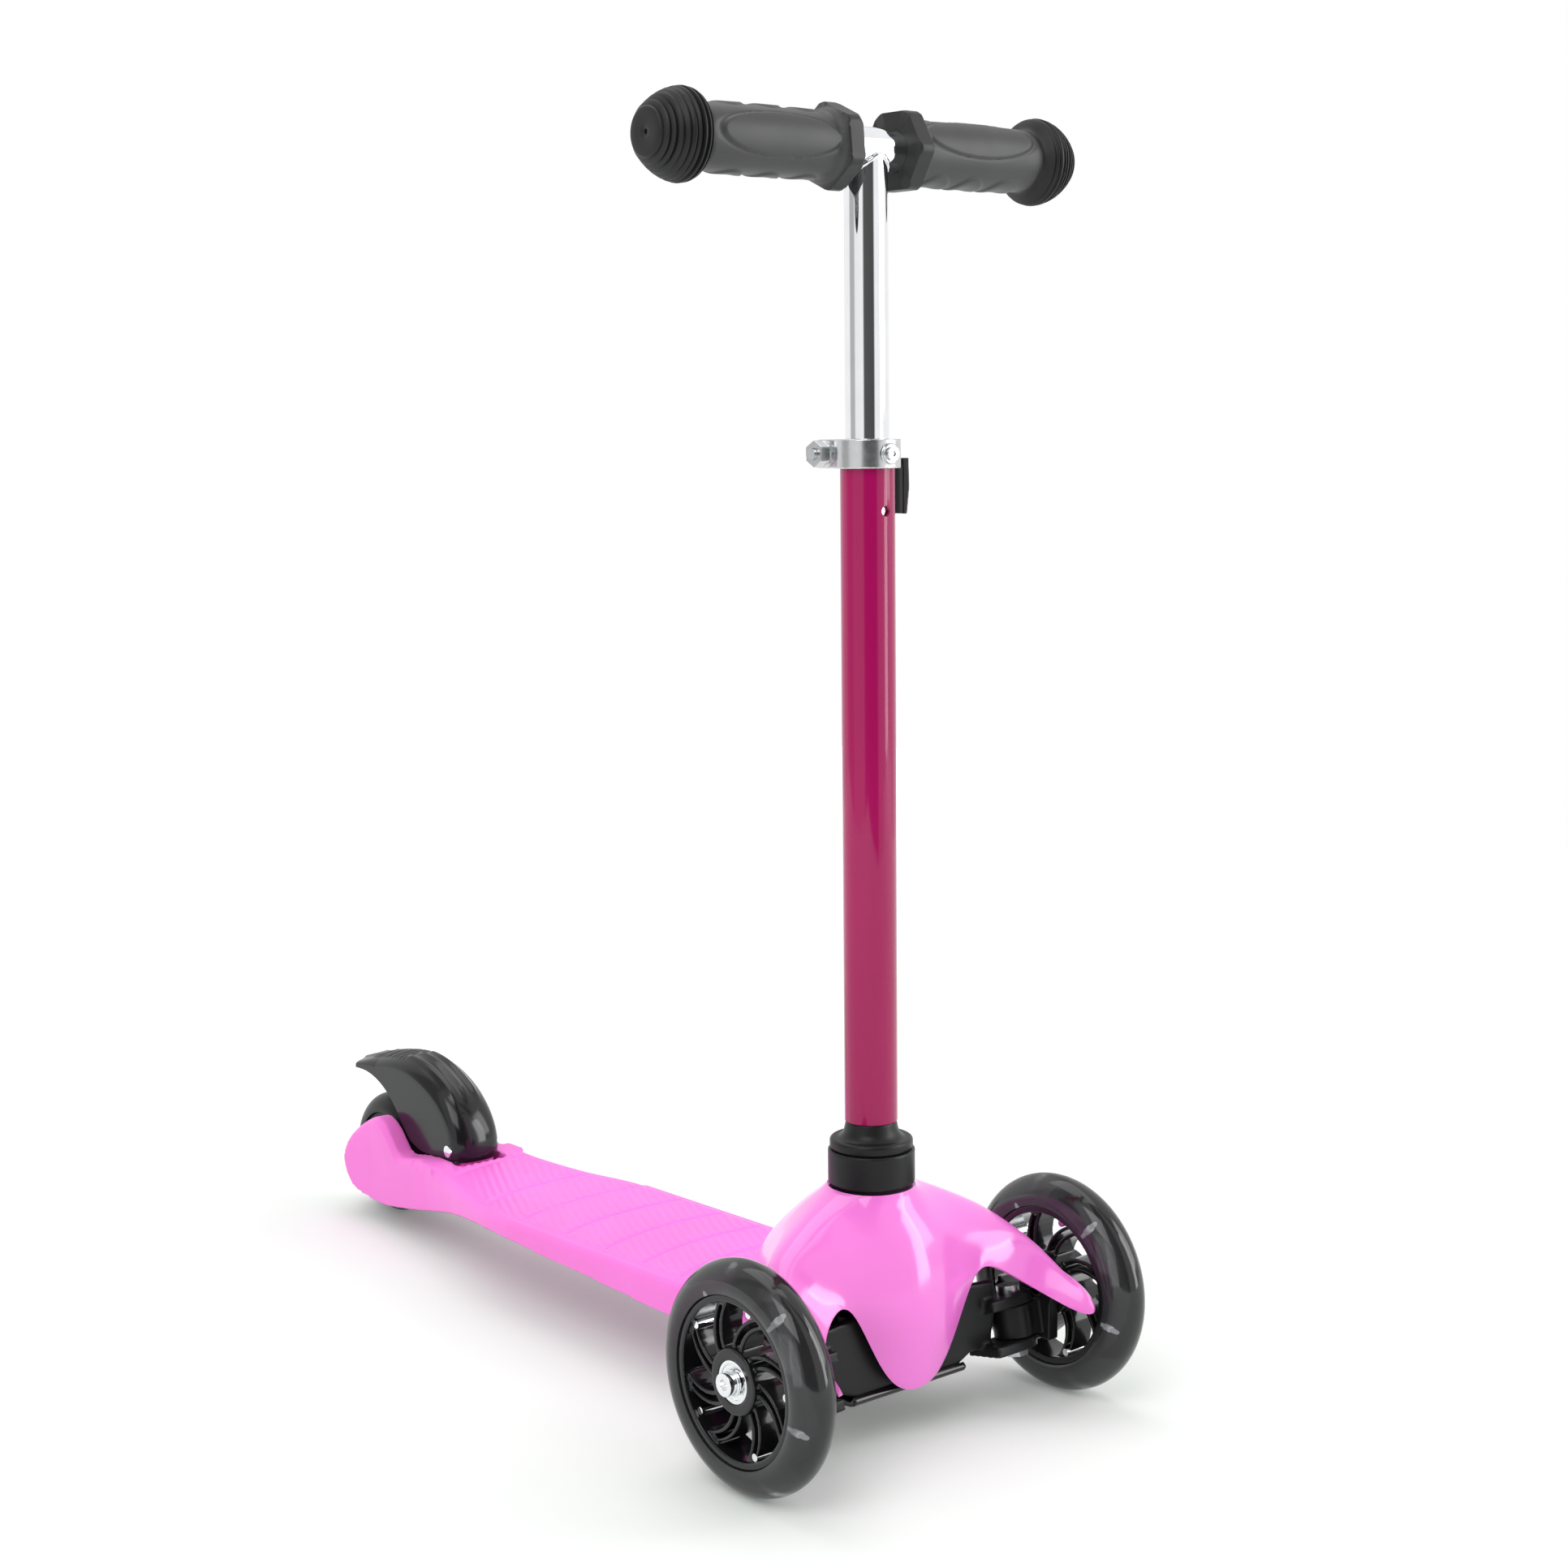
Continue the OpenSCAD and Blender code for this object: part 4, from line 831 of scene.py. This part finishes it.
# Outer radius, width and the radius of the rim's seat, in mm
front_tyre_size = (60, 24, 44)
lamp_count = 5
led_outline = [(44.3, 0), (44.3, 1.9), (45.0, 1.9), (45.0, 1.3), (47.0, 1.3), (47.8, 1.0),
               (48.2, 0.5), (48.3, 0)]
bearing_place = 6.8
race = rounded([(3.5, 4.0), (3.5, 5.8), (2.9, 6.1), (2.9, 8.9), (3.5, 9.2), (3.5, 11), (-3.5, 11),
                (-3.5, 9.2), (-2.9, 8.9), (-2.9, 6.1), (-3.5, 5.8), (-3.5, 4.0)], 0.25, 2)
for side, way in (("left", 1), ("right", -1)):
    hub = Vector((way * front_axle.x, front_axle.y, front_axle.z))
    out = Vector((way, 0, 0))
    body = "wheel_" + side
    tyre = turn("tyre_cast_" + side, round_tread(*front_tyre_size), hub, out, (0, 0, 1), 192)
    tyre.data.shade_smooth()
    tyre.data.set_sharp_from_angle(angle=math.radians(50))
    fit(tyre, body, smoke, "smoke_tyre", "tyre_" + side)
    core = blank_of("core_" + side, "wheel_core_" + side)
    soften(core, 0.6 * mm, 2)
    fit(core, body, black_gloss, "gloss_black", "core_" + side)
    leds = bmesh.new()
    for k in range(lamp_count):
        spin = math.radians(360 / lamp_count * (k + 0.5))
        ray = Vector((0, -math.sin(spin), math.cos(spin)))
        led = turn("led", led_outline, hub, ray, out, 24)
        leds.from_mesh(led.data)
        bpy.data.objects.remove(led)
    led_mesh = bpy.data.meshes.new("lamp_capsules_" + side)
    leds.to_mesh(led_mesh)
    leds.free()
    smooth_shade(led_mesh, 40)
    lamp_set = bpy.data.objects.new("lamp_capsules_" + side, led_mesh)
    bpy.context.collection.objects.link(lamp_set)
    fit(lamp_set, body, lamp_glass, "lamp", "lamps_" + side)
    finish_node(chrome, "coils_" + side)
    finish_node(zinc_steel, "spacer_" + side)
    pair = []
    for place in (1, -1):
        pair.append(turn("bearing", race, hub + out * place * bearing_place * mm, out, (0, 0, 1), 64))
    bearings = pair[0]
    joined = bmesh.new()
    for ring in pair:
        joined.from_mesh(ring.data)
    joined.to_mesh(bearings.data)
    joined.free()
    bpy.data.objects.remove(pair[1])
    bearings.name = "ball_bearings_" + side
    smooth_shade(bearings.data, 32)
    fit(bearings, body, chrome, "chrome", "bearings_" + side)
    bolt = blank_of("axle_bolt_" + side, "axle_bolt_domed_" + side)
    soften(bolt, 0.28 * mm, 2)
    fit(bolt, "knuckle_" + side, chrome, "chrome", "axle_bolt_" + side)

# ---- Rear wheel ----
# A small solid wheel between the tail arms: black polyurethane on a black core, with
# its own bearings, bushes and a plain steel axle.

black_tyre = moulding("black_polyurethane", (0.012, 0.012, 0.013), 0.34, grain=500, depth=0.06,
                      drift=0.10, mirror=0.3)
rear_tyre_size = (40, 24, 28)
rear_tyre = turn("rear_tyre_cast", round_tread(*rear_tyre_size), rear_axle, (1, 0, 0), (0, 0, 1), 160)
rear_tyre.data.shade_smooth()
rear_tyre.data.set_sharp_from_angle(angle=math.radians(50))
fit(rear_tyre, "wheel_rear", black_tyre, "black_tyre", "rear_tyre")
rear_core = blank_of("rear_core", "rear_wheel_core")
soften(rear_core, 0.6 * mm, 2)
fit(rear_core, "wheel_rear", black_satin, "black_plastic", "rear_core")
finish_node(zinc_steel, "rear_bearings", "rear_spacer", "rear_axle")
finish_node(black_satin, "rear_bushes")

# ---- Mudguard and brake ----
# A springy black fender over the rear wheel with ridges down its arch and cross ribs
# on the pedal. A steel pad under it rubs the tyre, and a bright pin is its hinge.

guard_half = 17.5
guard_wall = 3.0
arch_depth = 11.0
arch_share, arch_round = 0.72, 0.86
ridge_places = (-8.4, 0, 8.4)
ridge_height, ridge_spread = 1.5, 2.0
pedal_rib_gap, pedal_rib_height, pedal_rib_half = 4.2, 0.7, 13
hinge = Vector(joints["brake_press"]["pos_m"])
# From the foot to the pedal's tip: mm behind the front axle, and height
e = wheelbase / mm
hz = hinge.z / mm
crown = [(e - 101, hz - 7), (e - 102, hz + 3), (e - 99, hz + 15), (e - 91, hz + 27), (e - 78, 101),
         (e - 61, 109), (e - 43, 113.5), (e - 25, 114), (e - 7, 111.5), (e + 9, 107.5), (e + 24, 102.5)]
skirt = [(e - 88, hz - 7), (e - 72, hz - 7), (e - 58, hz - 6.6), (e - 49, hz - 4), (e - 42, 62),
         (e - 34, 70), (e - 26, 79), (e - 15, 88), (e - 3, 94), (e + 10, 97), (e + 24, 97)]


def through(pts, t):
    """A smooth curve through pts at t, from 0 to 1."""
    s = min(max(t, 0), 0.999999) * (len(pts) - 1)
    i = int(s)
    u = s - i
    a, b, c, d = (Vector(pts[min(max(i + k, 0), len(pts) - 1)]) for k in (-1, 0, 1, 2))
    return 0.5 * (2 * b + (c - a) * u + (2 * a - 5 * b + 4 * c - d) * u * u
                  + (3 * b - a - 3 * c + d) * u ** 3)


guard_rows, guard_cols = 150, 60
fender = bmesh.new()
grid = []
walked = 0.0
before = None
for i in range(guard_rows + 1):
    t = i / guard_rows
    top, low = through(crown, t), through(skirt, t)
    walked += (top - before).length if before else 0
    before = top
    ahead = (through(crown, t + 0.004) - through(crown, t - 0.004)).normalized()
    up = Vector((-ahead.y, ahead.x))
    down = low - top
    arch = min(arch_depth, arch_share * down.length)
    pedal = step_up(top.x, e - 34, e - 26) * step_up(-top.x, -(e + 12), -(e + 6))
    wave = math.sin(2 * math.pi * walked / pedal_rib_gap)
    tooth = pedal * pedal_rib_height * step_up(wave, -0.3, 0.5)
    row = []
    for k in range(guard_cols + 1):
        v = 2 * k / guard_cols - 1
        if abs(v) < arch_share:
            a = v / arch_share * math.pi / 2
            x = guard_half * math.copysign(abs(math.sin(a)) ** arch_round, a)
            sink = arch * (1 - abs(math.cos(a)) ** arch_round)
        else:
            x = math.copysign(guard_half, v)
            sink = arch + (down.length - arch) * (abs(v) - arch_share) / (1 - arch_share)
        spot = top + down.normalized() * sink
        ridge = ridge_height * sum(math.exp(-((x - m) / ridge_spread) ** 2) for m in ridge_places)
        ridge *= (1 - pedal) * step_up(top.x, e - 92, e - 78)
        spot = spot + up * (ridge - 1.2 + tooth * (1 if abs(x) < pedal_rib_half else 0))
        row.append(fender.verts.new(Vector((x, spot.x, spot.y)) * mm + Vector((0, front_axle.y, 0))))
    grid.append(row)
for i in range(guard_rows):
    for k in range(guard_cols):
        fender.faces.new((grid[i][k], grid[i][k + 1], grid[i + 1][k + 1], grid[i + 1][k]))
bmesh.ops.recalc_face_normals(fender, faces=fender.faces)
fender_mesh = bpy.data.meshes.new("mudguard_arch")
fender.to_mesh(fender_mesh)
fender.free()
mudguard = bpy.data.objects.new("mudguard_arch", fender_mesh)
bpy.context.collection.objects.link(mudguard)
wall = mudguard.modifiers.new("wall", "SOLIDIFY")
wall.thickness = guard_wall * mm
wall.offset = -1
bake_modifiers(mudguard)
smooth_shade(mudguard.data, 50)
fit(mudguard, "mudguard", black_gloss, "gloss_black", "mudguard")
finish_node(zinc_steel, "brake_pad", "mudguard_spring")
finish_node(chrome, "mudguard_pin")
